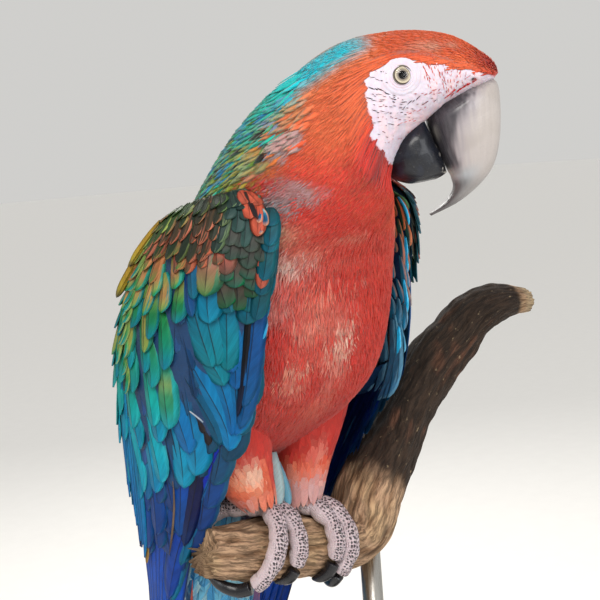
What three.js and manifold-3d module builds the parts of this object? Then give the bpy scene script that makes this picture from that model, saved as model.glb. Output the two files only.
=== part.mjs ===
// A life-size macaw, a large parrot, perched on a crooked branch that a plain display stand holds up. Units are
// millimetres, +Z is up, and the bird's chest faces -Y. The origin is the centre of the base's underside.
import * as THREE from 'three';
import { LoftGeometry } from 'three/addons/geometries/LoftGeometry.js';
import { mergeVertices } from 'three/addons/utils/BufferGeometryUtils.js';
import Module from 'manifold-3d';

const wasm = await Module();
wasm.setup();

// ---- Driving dimensions ----

const gap = 0.35; // air between neighbouring solids
const coverGap = 0.5; // air round the wings' shells, whose faces turn most
const perchTop = 460; // floor to the top of the perch, between the feet
const birdX = -58; // where the bird stands, from the base's centre
const birdY = -6;

const headYaw = THREE.MathUtils.degToRad(46); // the head is turned to the bird's left
const neckPivot = 47; // how far in front of the feet the head turns

const eyeRadius = 8;
const eyePlace = { forward: 90, up: 242, side: 23 }; // before the head is turned

const shoulderThickness = 19; // of the wing's shell, at its fullest
const flightThickness = 2.2;

const tail = {
  lean: THREE.MathUtils.degToRad(11), // it hangs this much out behind
  back: 56, // of its root, behind the feet
  up: 12,
  length: 425,
  pairs: 6,
  width: 34, // of the middle feathers
  thickness: 2.2,
};

const baseRadius = 154;
const baseThickness = 18;
const rodRadius = 6.5;
const rodPlace = 0.4; // where the rod meets the branch, as a share of its length

// ---- Small helpers ----

const vec = (x, y, z) => new THREE.Vector3(x, y, z);
const { lerp, clamp, smoothstep, degToRad } = THREE.MathUtils;

// Rows of numbers become one smooth function of t, from 0 at the first row to 1 at the last.
function smoothRows(rows) {
  return (t) => {
    const place = clamp(t, 0, 1) * (rows.length - 1);
    const k = Math.min(Math.floor(place), rows.length - 2);
    const f = place - k;
    const row = (i) => rows[clamp(i, 0, rows.length - 1)];
    return rows[0].map((_, c) => {
      const [a, b, d, e] = [row(k - 1)[c], row(k)[c], row(k + 1)[c], row(k + 2)[c]];
      return b + 0.5 * f * (d - a + f * (2 * a - 5 * b + 4 * d - e + f * (3 * (b - d) + e - a)));
    });
  };
}

// A ring of points through a dorsal and a ventral point. power above 2 squares the ring off, and skew widens
// its ventral half.
function ring(dorsal, ventral, halfWidth, side, { sides = 18, power = 2.2, skew = 0, grow = 0 } = {}) {
  const centre = dorsal.clone().add(ventral).multiplyScalar(0.5);
  const up = dorsal.clone().sub(centre);
  const halfDepth = up.length() + grow;
  up.normalize();
  const bend = (v) => Math.sign(v) * Math.abs(v) ** (2 / power);
  return Array.from({ length: sides }, (_, i) => {
    const angle = (i / sides) * 2 * Math.PI;
    const across = bend(Math.sin(angle)) * (halfWidth + grow) * (1 - skew * Math.cos(angle));
    return centre.clone()
      .addScaledVector(up, bend(Math.cos(angle)) * halfDepth)
      .addScaledVector(side, across);
  });
}

// Two ways to end a loft: a fan of faces to the last ring's middle, or, for a thin ring whose second half runs
// back along its first, a fold along its middle line.
function fan(points) {
  const centre = points.reduce((sum, p) => sum.add(p), vec(0, 0, 0)).divideScalar(points.length);
  return points.map(() => centre);
}

function fold(points) {
  return points.map((p, i) => p.clone().lerp(points[points.length - 1 - i], 0.5));
}

function solidFromRings(rings, end = fan) {
  return solidFrom(new LoftGeometry([end(rings[0]), ...rings, end(rings.at(-1))]));
}

function solidFrom(geometry) {
  geometry.deleteAttribute('normal');
  geometry.deleteAttribute('uv');
  const merged = mergeVertices(new THREE.BufferGeometry().copy(geometry), 1e-3);
  const build = (triVerts) => new wasm.Manifold(
    new wasm.Mesh({ numProp: 3, vertProperties: merged.attributes.position.array, triVerts }),
  );
  const faces = [];
  const index = merged.index.array;
  for (let i = 0; i < index.length; i += 3) {
    const [a, b, c] = index.slice(i, i + 3);
    if (a !== b && b !== c && c !== a) faces.push(a, b, c);
  }
  const made = build(new Uint32Array(faces));
  return made.volume() > 0 ? made : build(new Uint32Array(faces.reverse()));
}

function geometryFrom(solid) {
  const mesh = solid.getMesh();
  const points = new Float32Array(mesh.numVert * 3);
  for (let i = 0; i < mesh.numVert; i += 1) {
    points.set(mesh.vertProperties.subarray(i * mesh.numProp, i * mesh.numProp + 3), i * 3);
  }
  const geometry = new THREE.BufferGeometry();
  geometry.setAttribute('position', new THREE.BufferAttribute(points, 3));
  geometry.setIndex(new THREE.BufferAttribute(mesh.triVerts, 1));
  geometry.computeVertexNormals();
  return geometry;
}

// A tube of changing radius along a smooth line.
function tube(points, radii, { steps = 10, sides = 8, grow = 0, flat = 1 } = {}) {
  const line = new THREE.CatmullRomCurve3(points);
  const radiusAt = smoothRows(radii.map((r) => [r]));
  const frames = line.computeFrenetFrames(steps);
  const rings = Array.from({ length: steps + 1 }, (_, i) => {
    const t = i / steps;
    const centre = line.getPointAt(t);
    const radius = radiusAt(t)[0] + grow;
    return Array.from({ length: sides }, (_, j) => {
      const angle = (j / sides) * 2 * Math.PI;
      return centre.clone()
        .addScaledVector(frames.normals[i], Math.cos(angle) * radius)
        .addScaledVector(frames.binormals[i], Math.sin(angle) * radius * flat);
    });
  });
  return solidFromRings(rings);
}

const material = {
  plumage: (color) => new THREE.MeshStandardMaterial({ color, roughness: 0.75, metalness: 0 }),
  skin: (color) => new THREE.MeshStandardMaterial({ color, roughness: 0.6, metalness: 0 }),
  horn: (color) => new THREE.MeshStandardMaterial({ color, roughness: 0.35, metalness: 0 }),
  eye: (color) => new THREE.MeshStandardMaterial({ color, roughness: 0.08, metalness: 0 }),
  wood: (color) => new THREE.MeshStandardMaterial({ color, roughness: 0.85, metalness: 0 }),
  metal: (color) => new THREE.MeshStandardMaterial({ color, roughness: 0.35, metalness: 1 }),
};

const bird = new THREE.Group();
bird.position.set(birdX, birdY, perchTop);
const stand = new THREE.Group();

function add(group, name, solid, look) {
  const mesh = new THREE.Mesh(geometryFrom(solid), look);
  mesh.name = name;
  group.add(mesh);
  return mesh;
}

// ---- Trunk, neck and head: one form, parted by two thin cuts ----

// Each row is a cross-section: dorsal point (forward, up), ventral point (forward, up), half width, share of
// the head's turn. Forward and up are from the perch's top between the feet, before the head is turned.
const bodyRows = [
  [-84, 4, -62, -10, 12, 0], // root of the tail
  [-84, 38, -22, 20, 45, 0], // rump and vent
  [-67, 100, 47, 74, 69, 0], // belly
  [-33, 163, 67, 144, 68, 0], // breast
  [-8, 205, 80, 166, 55, 0.25], // root of the neck
  [20, 236, 85, 179, 44, 0.75], // nape and throat
  [56, 261.5, 84, 191, 36, 1], // back of the head, jaw
  [89, 268, 92, 207, 29.5, 1], // crown, over the eye
  [119, 264.5, 110, 222, 26, 1], // forehead
  [139, 252, 133, 233.5, 18.5, 1], // over the nostrils
  [147, 243, 145.5, 239, 6, 1], // front of the forehead, on the cere
];
const bodyRow = smoothRows(bodyRows);
const neckCut = 4.15 / (bodyRows.length - 1); // where the trunk ends
const headCut = 5.75 / (bodyRows.length - 1); // where the neck ends
const cutStep = 0.03 / (bodyRows.length - 1); // the thickness of each cut

// The point that is `forward` and `up` of the feet, turned by a share of the head's turn.
function turned(forward, up, share, side = 0) {
  const yaw = headYaw * share;
  const reach = forward - neckPivot;
  return vec(
    reach * Math.sin(yaw) - side * Math.cos(yaw),
    -neckPivot - reach * Math.cos(yaw) - side * Math.sin(yaw),
    up,
  );
}

function bodyRing(t, options) {
  const [df, du, vf, vu, half, share] = bodyRow(t);
  const side = vec(Math.cos(headYaw * share), Math.sin(headYaw * share), 0);
  return ring(turned(df, du, share), turned(vf, vu, share), half, side, options);
}

function bodyPart(from, to, steps, options = {}) {
  const ringAt = (_, i) => bodyRing(lerp(from, to, i / steps), options);
  return solidFromRings(Array.from({ length: steps + 1 }, ringAt));
}

const bodySteps = { trunk: 10, neck: 5, head: 10 };
const trunkWhole = bodyPart(0, neckCut, bodySteps.trunk);
const neckWhole = bodyPart(neckCut + cutStep, headCut, bodySteps.neck);
const headWhole = bodyPart(headCut + cutStep, 1, bodySteps.head);

// ---- Bill ----

// Rows as for the body, all turned with the head: dorsal (forward, up), ventral (forward, up), half width.
const upperBillRows = [
  [137, 241, 106, 222, 13], // seat, inside the face
  [145, 237, 106.5, 216, 18.5], // base, from cere to gape
  [146.5, 225, 109, 208.5, 18],
  [145.5, 209, 113, 198, 16],
  [142, 194.5, 117, 189, 12.5], // notch
  [134.5, 184, 118.5, 182, 8.5],
  [121, 174, 113.5, 174.5, 4.5],
  [105.5, 167.5, 104.5, 168.5, 0.8], // tip
];
const lowerBillRows = [
  [103, 222, 97, 219, 8], // gape
  [107, 212.5, 86, 209, 17],
  [110, 205.5, 80.5, 199, 18.5],
  [112.3, 200, 83, 191, 17.5],
  [113.8, 195, 94, 186, 14.5],
  [114.8, 191, 108, 187, 9], // cutting edge
];

function billPart(rows, steps, options) {
  const row = smoothRows(rows);
  const side = vec(Math.cos(headYaw), Math.sin(headYaw), 0);
  return solidFromRings(Array.from({ length: steps + 1 }, (_, i) => {
    const [df, du, vf, vu, half] = row(i / steps);
    return ring(turned(df, du, 1), turned(vf, vu, 1), half, side, options);
  }));
}

const billShape = { sides: 14, power: 2.1, skew: 0.18 };
const jawShape = { sides: 14, power: 2.2, skew: -0.15 };
const billSteps = { upper: 12, lower: 8 };
const upperBill = billPart(upperBillRows, billSteps.upper, billShape);
const upperBillRoom = billPart(upperBillRows, billSteps.upper, { ...billShape, grow: gap });
const lowerBill = billPart(lowerBillRows, billSteps.lower, jawShape).subtract(upperBillRoom);
const lowerBillRoom = billPart(lowerBillRows, billSteps.lower, { ...jawShape, grow: gap });

// ---- Eyes ----

function eyeBall(hand, grow = 0) {
  const centre = turned(eyePlace.forward, eyePlace.up, 1, hand * eyePlace.side);
  const ball = new THREE.SphereGeometry(eyeRadius + grow, 12, 6);
  return solidFrom(ball.rotateX(Math.PI / 2).translate(centre.x, centre.y, centre.z));
}

const head = [upperBillRoom, lowerBillRoom, eyeBall(1, gap), eyeBall(-1, gap)]
  .reduce((solid, room) => solid.subtract(room), headWhole);

// ---- Wings ----

// The folded wing's outer surface. Each row is one level: up, then four (side, back) pairs from the front edge
// to the rear edge. The rows run from the shoulder to the wing tip, which hangs beside the tail.
const wingRows = [
  [192, 48, -54, 60, -38, 52, -4, 22, 20],
  [178, 56, -64, 71, -40, 62, 14, 25, 31],
  [158, 60, -65, 79, -32, 68, 30, 27, 40],
  [133, 63, -59, 84, -18, 72, 46, 29, 55],
  [104, 66, -52, 87, -6, 73, 57, 29, 71],
  [68, 67, -38, 85, 10, 69, 66, 26, 82],
  [34, 66, -12, 79, 24, 62, 73, 22, 89],
  [-12, 61, 18, 69, 42, 54, 78, 19, 96],
  [-60, 55, 42, 58, 60, 44, 88, 18, 104],
  [-118, 47, 64, 49, 78, 39, 100, 18, 113],
  [-200, 36, 88, 37, 98, 33, 114, 20, 126],
];
const wingRow = smoothRows(wingRows);

// The levels of the shell's top and end, by place across, from front to rear.
const coverTop = smoothRows([[180], [190], [190], [186], [178], [168]]);
const coverEnd = smoothRows([[78], [50], [64], [42], [28], [18], [24], [44]]);
const coverEdge = 1.6; // the shell's thickness at its front and rear edges
const roomSpread = 0.02; // how much further across its room reaches, per millimetre that it grows

// The long feathers that show below the shell, each row from its first feather to its last: the level of the
// roots and of each tip, the places across of roots and tips, the widths, and how far each lies under the
// wing's surface.
const flightRows = {
  primaries: {
    rootUp: 96, tipUps: [-196, -182, -162, -136, -106, -72], roots: [0.12, 0.62], tips: [0.3, 0.78],
    widths: [21, 26], inward: [6.5, 2.6],
  },
  tertials: {
    rootUp: 100, tipUps: [-44, -28, -10], roots: [0.56, 0.84], tips: [0.5, 0.86],
    widths: [30, 30], inward: [4.2, 2.8],
  },
};

// The share of the way down wingRows at which the surface reaches a level.
function wingLevel(up) {
  const below = wingRows.findIndex(([level]) => level <= up);
  const k = below < 0 ? wingRows.length - 1 : Math.max(below, 1);
  const [a, b] = [wingRows[k - 1][0], wingRows[k][0]];
  return (k - 1 + (a - up) / (a - b)) / (wingRows.length - 1);
}

// A point `inward` under the wing's surface. across runs from 0 at the front edge to 1 at the rear edge.
function wingPoint(hand, across, up, inward) {
  const [, ...pairs] = wingRow(wingLevel(up));
  const place = smoothRows([0, 2, 4, 6].map((k) => [pairs[k], pairs[k + 1]]));
  const [side, back] = place(across);
  const [before, after] = [place(across - 0.03), place(across + 0.03)];
  const along = new THREE.Vector2(after[0] - before[0], after[1] - before[1]).normalize();
  return vec(-hand * (side - along.y * inward), back + along.x * inward, up);
}

// The coverts and the arm under them: a shell that is thick in the middle and thin at its edges. Its room is
// the same shell, grown, with one more ring over its top and one under its end.
function wingCover(hand, grow = 0) {
  const steps = { across: 8, down: 9 };
  const rows = Array.from({ length: steps.down + 1 }, (_, i) => [i / steps.down, 0]);
  if (grow) {
    rows.unshift([0, 2 * grow]);
    rows.push([1, -grow]);
  }
  return solidFromRings(rows.map(([v, lift]) => {
    const fullness = lerp(0.8, 1, smoothstep(v, 0, 0.2)) * lerp(1, 0.15, smoothstep(v, 0.3, 1));
    const point = (j, inner) => {
      const u = j / steps.across;
      const thickness = coverEdge + shoulderThickness * fullness * Math.sin(Math.PI * u) ** 0.6;
      const up = lerp(coverTop(u)[0], coverEnd(u)[0], v) + lift;
      return wingPoint(hand, u + (u - 0.5) * grow * roomSpread, up, inner ? thickness + grow : -grow);
    };
    const across = Array.from({ length: steps.across + 1 }, (_, j) => j);
    return [...across.map((j) => point(j, false)), ...across.reverse().map((j) => point(j, true))];
  }), fold);
}

// A feather as one thin blade that narrows to its tip from narrowFrom on. place(along, across, depth) gives its
// points: along from 0 at the root to 1 at the tip, across and depth in millimetres.
const vaneSteps = [0, 0.38, 0.84, 1];
const vaneSection = [[-1, 1], [1, 1], [1, -1], [-1, -1]];

function vane(place, width, thickness, narrowFrom = 0.68) {
  return solidFromRings(vaneSteps.map((t) => {
    const tip = smoothstep(t, narrowFrom, 1.02);
    const spread = lerp(0.6, 1, smoothstep(t, 0, 0.42)) * Math.sqrt(1 - 0.93 * tip ** 2);
    return vaneSection.map(([across, depth]) => place(t, across * spread * width / 2, depth * thickness / 2));
  }));
}

const wingSlant = 1.12; // a feather's width on the slanting surface, against its width on the level

function wingVane(hand, from, to, width, inward) {
  const place = (t, across, depth) => {
    const up = lerp(from[1], to[1], t);
    const reach = wingPoint(hand, 0, up, 0).distanceTo(wingPoint(hand, 1, up, 0)) * wingSlant;
    return wingPoint(hand, lerp(from[0], to[0], t) + across / reach, up, inward - depth);
  };
  return vane(place, width, flightThickness);
}

function flightFeathers(hand) {
  const feathers = Object.values(flightRows).flatMap(({ rootUp, tipUps, roots, tips, widths, inward }) => (
    tipUps.map((tipUp, i) => {
      const at = ([first, last]) => lerp(first, last, i / (tipUps.length - 1));
      return wingVane(hand, [at(roots), rootUp], [at(tips), tipUp], at(widths), at(inward));
    })
  ));
  return feathers.reduce((solid, feather) => solid.add(feather));
}

// ---- Tail ----

const tailAlong = vec(0, Math.sin(tail.lean), -Math.cos(tail.lean));
const tailDorsal = vec(0, Math.cos(tail.lean), Math.sin(tail.lean));
const tailStart = vec(0, tail.back, tail.up);

function tailPoint(side, along, dorsal) {
  return tailStart.clone().addScaledVector(tailAlong, along).addScaledVector(tailDorsal, dorsal).setX(side);
}

// The middle pair is the longest and lies on top. Each pair further out is shorter, narrower and lower, and the
// fan bows down at its sides.
function tailFeathers() {
  const feathers = [];
  for (let pair = 0; pair < tail.pairs; pair += 1) {
    const length = tail.length * (1 - 0.13 * pair + 0.004 * pair ** 2);
    for (const hand of [-1, 1]) {
      feathers.push(vane((t, across, depth) => {
        const side = hand * lerp(4 + 1.6 * pair, 5 + 3.9 * pair, t) + across;
        return tailPoint(side, -8 + (length + 8) * t, depth - 1.5 * pair - 0.7 * hand - side ** 2 / 420);
      }, tail.width - 1.5 * pair, tail.thickness, 0.3));
    }
  }
  return feathers.reduce((solid, feather) => solid.add(feather));
}

// The coverts round the tail's root: along, half width, dorsal reach, ventral reach.
const tailCovertRows = smoothRows([
  [-26, 33, 26, 34],
  [8, 33, 16, 27],
  [48, 30, 7.5, 20],
  [92, 26, 4.5, 14],
  [128, 19, 3, 10],
]);

function tailCoverts(grow = 0) {
  const steps = 7;
  return solidFromRings(Array.from({ length: steps + 1 }, (_, i) => {
    const [along, half, dorsal, ventral] = tailCovertRows(i / steps);
    const [top, under] = [tailPoint(0, along, dorsal), tailPoint(0, along, -ventral)];
    return ring(top, under, half, vec(1, 0, 0), { sides: 14, grow });
  }));
}

// ---- Perch ----

const branchLine = new THREE.CatmullRomCurve3([
  [-60, -11], [-30, -18], [0, -24], [30, -30], [50, -27], [63, -4], [83, 21], [99, 44], [120, 67], [137, 79],
  [152, 90], [168, 96], [187, 98], [209, 96],
].map(([reach, up]) => vec(0.98 * reach, -0.19 * reach, up)));
const branchRadii = smoothRows([[14], [17.5], [18], [19], [20.5], [19.5], [17], [17.5], [16.5], [13.5], [8]]);

// A branch's knobs and hollows, as a share of its radius.
const knobs = (t, angle) => 1 + 0.06 * Math.sin(3 * angle + 9 * t) + 0.05 * Math.sin(2 * angle - 23 * t);

function branch(grow = 0) {
  const steps = 17;
  const sides = 11;
  const frames = branchLine.computeFrenetFrames(steps);
  return solidFromRings(Array.from({ length: steps + 1 }, (_, i) => {
    const t = i / steps;
    const centre = branchLine.getPointAt(t);
    return Array.from({ length: sides }, (_, j) => {
      const angle = (j / sides) * 2 * Math.PI;
      const radius = branchRadii(t)[0] * knobs(t, angle) + grow;
      return centre.clone()
        .addScaledVector(frames.normals[i], Math.cos(angle) * radius)
        .addScaledVector(frames.binormals[i], Math.sin(angle) * radius);
    });
  }));
}

// The straight stretch that the feet hold, as its own frame: along it, round it (0 on top, 90 in front), out.
const perchAlong = vec(0.98, -0.19, -0.2).normalize();
const perchFront = perchAlong.clone().cross(vec(0, 0, 1)).normalize();
const perchUp = perchFront.clone().cross(perchAlong).normalize();
const perchMiddle = vec(0, 0, -24);
const perchRadius = 18;

function perchPoint([along, degrees, out]) {
  const angle = degToRad(degrees);
  return perchMiddle.clone()
    .addScaledVector(perchAlong, along)
    .addScaledVector(perchUp, Math.cos(angle) * (perchRadius + out))
    .addScaledVector(perchFront, Math.sin(angle) * (perchRadius + out));
}

// ---- Legs and feet ----

// Each toe is a path round the perch, and its claw goes on from there: [along, degrees round, out].
const feet = {
  right: {
    middle: -24,
    thigh: [[-38, 8, 66, 25], [-37, 6, 44, 20.5], [-32, 3, 27, 15], [-27, 1, 16, 11]],
    toes: {
      front_outer: [[1, -8, 8], [1, 24, 8.5], [0, 55, 7], [-3, 86, 6], [-8, 118, 5.5], [-11, 134, 5.5]],
      front_inner: [[5, -4, 7], [11, 26, 7], [14, 55, 5.5], [14, 82, 5], [13, 104, 5]],
      back_outer: [[-1, 0, 7.5], [-11, -12, 7.5], [-20, -34, 7], [-25, -64, 6], [-25, -94, 5.5]],
      back_inner: [[2, -6, 7], [5, -36, 6.5], [7, -70, 5.5], [7, -98, 5]],
    },
    claws: {
      front_outer: [[-12, 140, 5], [-17, 158, 4], [-25, 172, 0], [-33, 170, -5]],
      front_inner: [[13, 110, 4.5], [12, 124, 4], [11, 140, 2], [9, 156, 1.5]],
      back_outer: [[-25, -100, 5], [-24, -118, 4.5], [-22, -138, 2.5], [-20, -156, 1.5]],
      back_inner: [[7, -104, 4.5], [8, -122, 4], [8, -142, 2.5], [7, -158, 1.5]],
    },
  },
  left: {
    middle: 5,
    thigh: [[30, 7, 66, 25], [25, 6, 44, 20], [18, 3, 25, 14.5], [13, 0, 10, 11]],
    toes: {
      front_outer: [[6, -4, 8], [14, 18, 8.5], [20, 50, 7.5], [21, 82, 6.5], [19, 108, 5.5], [18, 120, 5.5]],
      front_inner: [[0, -2, 8], [6, 20, 8], [11, 48, 6.5], [12, 76, 5.5], [11, 98, 5]],
      back_outer: [[4, -8, 7.5], [12, -30, 7], [16, -62, 6], [16, -94, 5.5]],
      back_inner: [[-1, -12, 7], [-3, -40, 6.5], [-4, -72, 5.5], [-4, -98, 5]],
    },
    claws: {
      front_outer: [[18, 126, 5], [18, 142, 5], [19, 158, 3], [20, 172, 1.5]],
      front_inner: [[11, 104, 4.5], [10, 120, 4.5], [8, 138, 3], [6, 152, 1.5]],
      back_outer: [[16, -100, 5], [16, -118, 4.5], [15, -138, 2.5], [14, -156, 1.5]],
      back_inner: [[-4, -104, 4.5], [-4, -122, 4], [-5, -142, 2.5], [-5, -158, 1.5]],
    },
  },
};

function footPath(middle, rows) {
  return rows.map(([along, degrees, out]) => perchPoint([middle + along, degrees, out]));
}

const shankRadii = [7, 7.5, 8];
const clawRadii = [4.1, 3.9, 3, 0.7];
const toePads = [5.4, 6.1, 5.9, 6.4]; // the radii that repeat along a toe
const toeTaper = 1.2; // less at its end

// Scale pads under the toes make them swell and narrow along their length.
function toe(middle, rows, grow = 0) {
  const count = 2 * rows.length;
  const radii = Array.from({ length: count }, (_, i) => toePads[i % toePads.length] - toeTaper * (i / count));
  return tube(footPath(middle, rows), radii, { steps: 6, sides: 6, grow });
}

function foot({ middle, toes, thigh }, grow = 0) {
  const [side, back, up] = thigh.at(-1);
  const line = [vec(side, back + 3, up + 9), vec(side, back + 2, up), perchPoint([middle + 1, -6, 9])];
  const shank = tube(line, shankRadii, { steps: 4, sides: 8, grow });
  return Object.values(toes).reduce((solid, rows) => solid.add(toe(middle, rows, grow)), shank);
}

function claw(middle, rows, grow = 0) {
  return tube(footPath(middle, rows), clawRadii, { steps: 4, sides: 5, grow });
}

function thigh({ thigh: rows }, grow = 0) {
  const row = smoothRows(rows);
  const steps = 4;
  return solidFromRings(Array.from({ length: steps + 1 }, (_, i) => {
    const [side, back, up, radius] = row(i / steps);
    const [rear, front] = [vec(side, back + radius, up), vec(side, back - radius * 1.05, up)];
    return ring(rear, front, radius, vec(1, 0, 0), { sides: 12, grow });
  }));
}

// ---- Putting it together ----

// What a solid leaves of another, with a gap between them. Crumbs that the cut leaves are dropped.
function cutBy(solid, ...rooms) {
  const rest = rooms.reduce((left, room) => left.subtract(room), solid);
  return rest.decompose().reduce((largest, piece) => (piece.volume() > largest.volume() ? piece : largest));
}

const wings = { right: 1, left: -1 };
const covers = Object.values(wings).map((hand) => wingCover(hand, coverGap));
const footRooms = Object.values(feet).map((one) => foot(one, gap));
const clawRooms = Object.values(feet).flatMap(
  ({ middle, claws }) => Object.values(claws).map((rows) => claw(middle, rows, gap)),
);
const thighRooms = Object.values(feet).map((one) => thigh(one, gap));

add(bird, 'trunk', cutBy(trunkWhole, ...covers, ...footRooms), material.plumage(0xc23a33));
add(bird, 'neck', cutBy(neckWhole, lowerBillRoom, ...covers), material.plumage(0xcf4a38));
add(bird, 'head', head, material.plumage(0xd8583a));
add(bird, 'bill_upper', upperBill, material.horn(0xd9cfc0));
add(bird, 'bill_lower', lowerBill, material.horn(0x2a2b33));
add(bird, 'eye_right', eyeBall(1), material.eye(0xd8c79a));
add(bird, 'eye_left', eyeBall(-1), material.eye(0xd8c79a));

const trunkRoom = bodyPart(0, neckCut, bodySteps.trunk, { grow: gap });
const coverts = cutBy(tailCoverts(), trunkRoom);
const covertRoom = tailCoverts(gap);
const branchRoom = branch(gap);
add(bird, 'tail_coverts', coverts, material.plumage(0x86b6cf));
add(bird, 'tail', cutBy(tailFeathers(), covertRoom, trunkRoom), material.plumage(0xc4502f));

for (const [side, hand] of Object.entries(wings)) {
  const flight = cutBy(flightFeathers(hand), ...covers, ...thighRooms, trunkRoom, covertRoom, branchRoom);
  add(bird, `wing_${side}`, wingCover(hand), material.plumage(0x2f6f73));
  add(bird, `flight_${side}`, flight, material.plumage(0x1f56b5));
}

for (const [side, one] of Object.entries(feet)) {
  const footRoom = foot(one, gap);
  const upper = cutBy(thigh(one), trunkRoom, footRoom, ...covers);
  add(bird, `thigh_${side}`, upper, material.plumage(0xdf7a5c));
  add(bird, `foot_${side}`, foot(one), material.skin(0xcdbfc0));
  for (const [name, rows] of Object.entries(one.claws)) {
    add(bird, `claw_${side}_${name}`, cutBy(claw(one.middle, rows), footRoom), material.horn(0x17171b));
  }
}

add(bird, 'perch_branch', cutBy(branch(), ...footRooms, ...clawRooms), material.wood(0x9a6f45));

// A rod from the base to the branch's crook.
const rodFoot = vec(birdX, birdY, 0).add(branchLine.getPointAt(rodPlace)).setZ(baseThickness + gap);
const rodTop = perchTop + branchLine.getPointAt(rodPlace).z;
const rod = new THREE.CylinderGeometry(rodRadius, rodRadius, rodTop - rodFoot.z, 16)
  .rotateX(Math.PI / 2)
  .translate(rodFoot.x, rodFoot.y, (rodFoot.z + rodTop) / 2);
const rodRoom = branchRoom.translate(birdX, birdY, perchTop);
add(stand, 'stand_rod', cutBy(solidFrom(rod), rodRoom), material.metal(0xb9b6ae));

const base = new THREE.CylinderGeometry(baseRadius, baseRadius, baseThickness, 48)
  .rotateX(Math.PI / 2)
  .translate(0, 0, baseThickness / 2);
add(stand, 'stand_base', solidFrom(base), material.wood(0x2b2622));

const model = new THREE.Group();
model.add(bird, stand);
export default model;
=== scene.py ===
import bpy
import math
import numpy as np
from mathutils import Matrix, Vector


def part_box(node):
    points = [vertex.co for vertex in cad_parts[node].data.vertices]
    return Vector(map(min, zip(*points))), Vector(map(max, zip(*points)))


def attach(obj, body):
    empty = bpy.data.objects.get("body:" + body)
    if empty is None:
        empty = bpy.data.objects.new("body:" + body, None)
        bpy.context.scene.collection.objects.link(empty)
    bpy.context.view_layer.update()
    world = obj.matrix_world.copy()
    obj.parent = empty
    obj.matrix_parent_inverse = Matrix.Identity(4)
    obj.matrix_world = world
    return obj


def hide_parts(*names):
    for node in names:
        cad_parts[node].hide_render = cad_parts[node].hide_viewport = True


# A life-size macaw on a crooked branch, dressed over the plain frame: one skin, a coat of feathers, bill, eyes, feet.
# Shapes are worked out in millimetres from the bird's own middle, then put in place in metres.

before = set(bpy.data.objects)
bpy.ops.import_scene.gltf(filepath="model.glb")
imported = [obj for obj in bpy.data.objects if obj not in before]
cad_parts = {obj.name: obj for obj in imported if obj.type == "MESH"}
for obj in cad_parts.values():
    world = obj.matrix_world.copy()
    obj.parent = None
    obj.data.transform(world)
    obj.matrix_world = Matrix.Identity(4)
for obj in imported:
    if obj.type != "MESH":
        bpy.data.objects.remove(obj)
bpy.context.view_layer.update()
print("frame loaded")

place = {"birdX": -58, "birdY": -6, "perchTop": 460}
view = {
    "location": (-0.52093, -0.47682, 0.66400),
    "right": (0.68589, -0.72371, -0.07615),
    "up": (0.14070, 0.02922, 0.98962),
    "lens": 69,
}


def mix(a, b, share):
    return a + (b - a) * share


def ease(x, low, high):
    x = np.clip((x - low) / (high - low), 0, 1)
    return x * x * (3 - 2 * x)


def norm(v):
    return np.linalg.norm(v, axis=-1)


def unit(v):
    return v / np.maximum(norm(v)[..., None], 1e-9)


def xyz(x, y, z):
    return np.stack(np.broadcast_arrays(x, y, z), -1).astype(float)


def pair(a, b):
    return np.stack(np.broadcast_arrays(a, b), -1).astype(float)


def tint(code):
    parts = np.array([int(code[i:i + 2], 16) / 255 for i in (0, 2, 4)])
    return np.where(parts < 0.04045, parts / 12.92, ((parts + 0.055) / 1.055) ** 2.4)


def between(a, b, c, d, f):
    # a smooth curve from b to c, with a before and d after them
    return b + 0.5 * f * (c - a + f * (2 * a - 5 * b + 4 * c - d + f * (3 * (b - c) + d - a)))


def smoothRows(rows):
    # rows of numbers as one smooth function of t, 0 at the first and 1 at the last, running straight on past both
    rows = np.array(rows, float)
    last = len(rows) - 1

    def at(t):
        t = np.asarray(t, float)
        inside = np.clip(t, 0, 1)
        spot = inside * last
        k = np.minimum(spot.astype(int), last - 1)
        f = (spot - k)[..., None]
        curve = between(*(rows[np.clip(k + i, 0, last)] for i in (-1, 0, 1, 2)), f)
        slope = np.where((t < 0)[..., None], rows[1] - rows[0], rows[last] - rows[last - 1]) * last
        return curve + slope * (t - inside)[..., None]
    return at


def smoothLine(*values):
    row = smoothRows([[value] for value in values])
    return lambda t: row(t)[..., 0]


def waves(points, size, seed):
    # soft bumps over space, from -1 to 1, about `size` apart
    rng = np.random.default_rng(seed)
    total = 0
    for _ in range(7):
        direction = rng.normal(size=3)
        direction /= np.linalg.norm(direction)
        steps = points @ direction * (2 * math.pi / size) * rng.uniform(0.6, 1.6)
        total = total + np.sin(steps + rng.uniform(0, 6.28))
    return total / 3.2


def painted(base, shape, *coats):
    # a colour for each place: a first one, all over or given place by place, and others laid on it, each with a mask
    colour = np.broadcast_to(tint(base) if isinstance(base, str) else base, shape)
    for code, mask in coats:
        colour = mix(colour, tint(code), np.clip(mask, 0, 1)[..., None])
    return colour


def circle(count):
    return np.linspace(0, 2 * math.pi, count, endpoint=False)


def squared(v, power=2.2):
    # a sine or cosine that draws a squared-off ring in place of a round one
    return np.sign(v) * np.abs(v) ** (2 / power)


def roundOf(angle):
    # degrees from the middle of the back, 0 to 180 on both sides
    return np.degrees(np.abs((angle + math.pi) % (2 * math.pi) - math.pi))


def spot(x, y, middleX, middleY, reachX, reachY):
    return np.exp(-((x - middleX) / reachX) ** 2 - ((y - middleY) / reachY) ** 2)


def inPlace(points):
    return (points + np.array([place["birdX"], place["birdY"], place["perchTop"]])) / 1000


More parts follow.
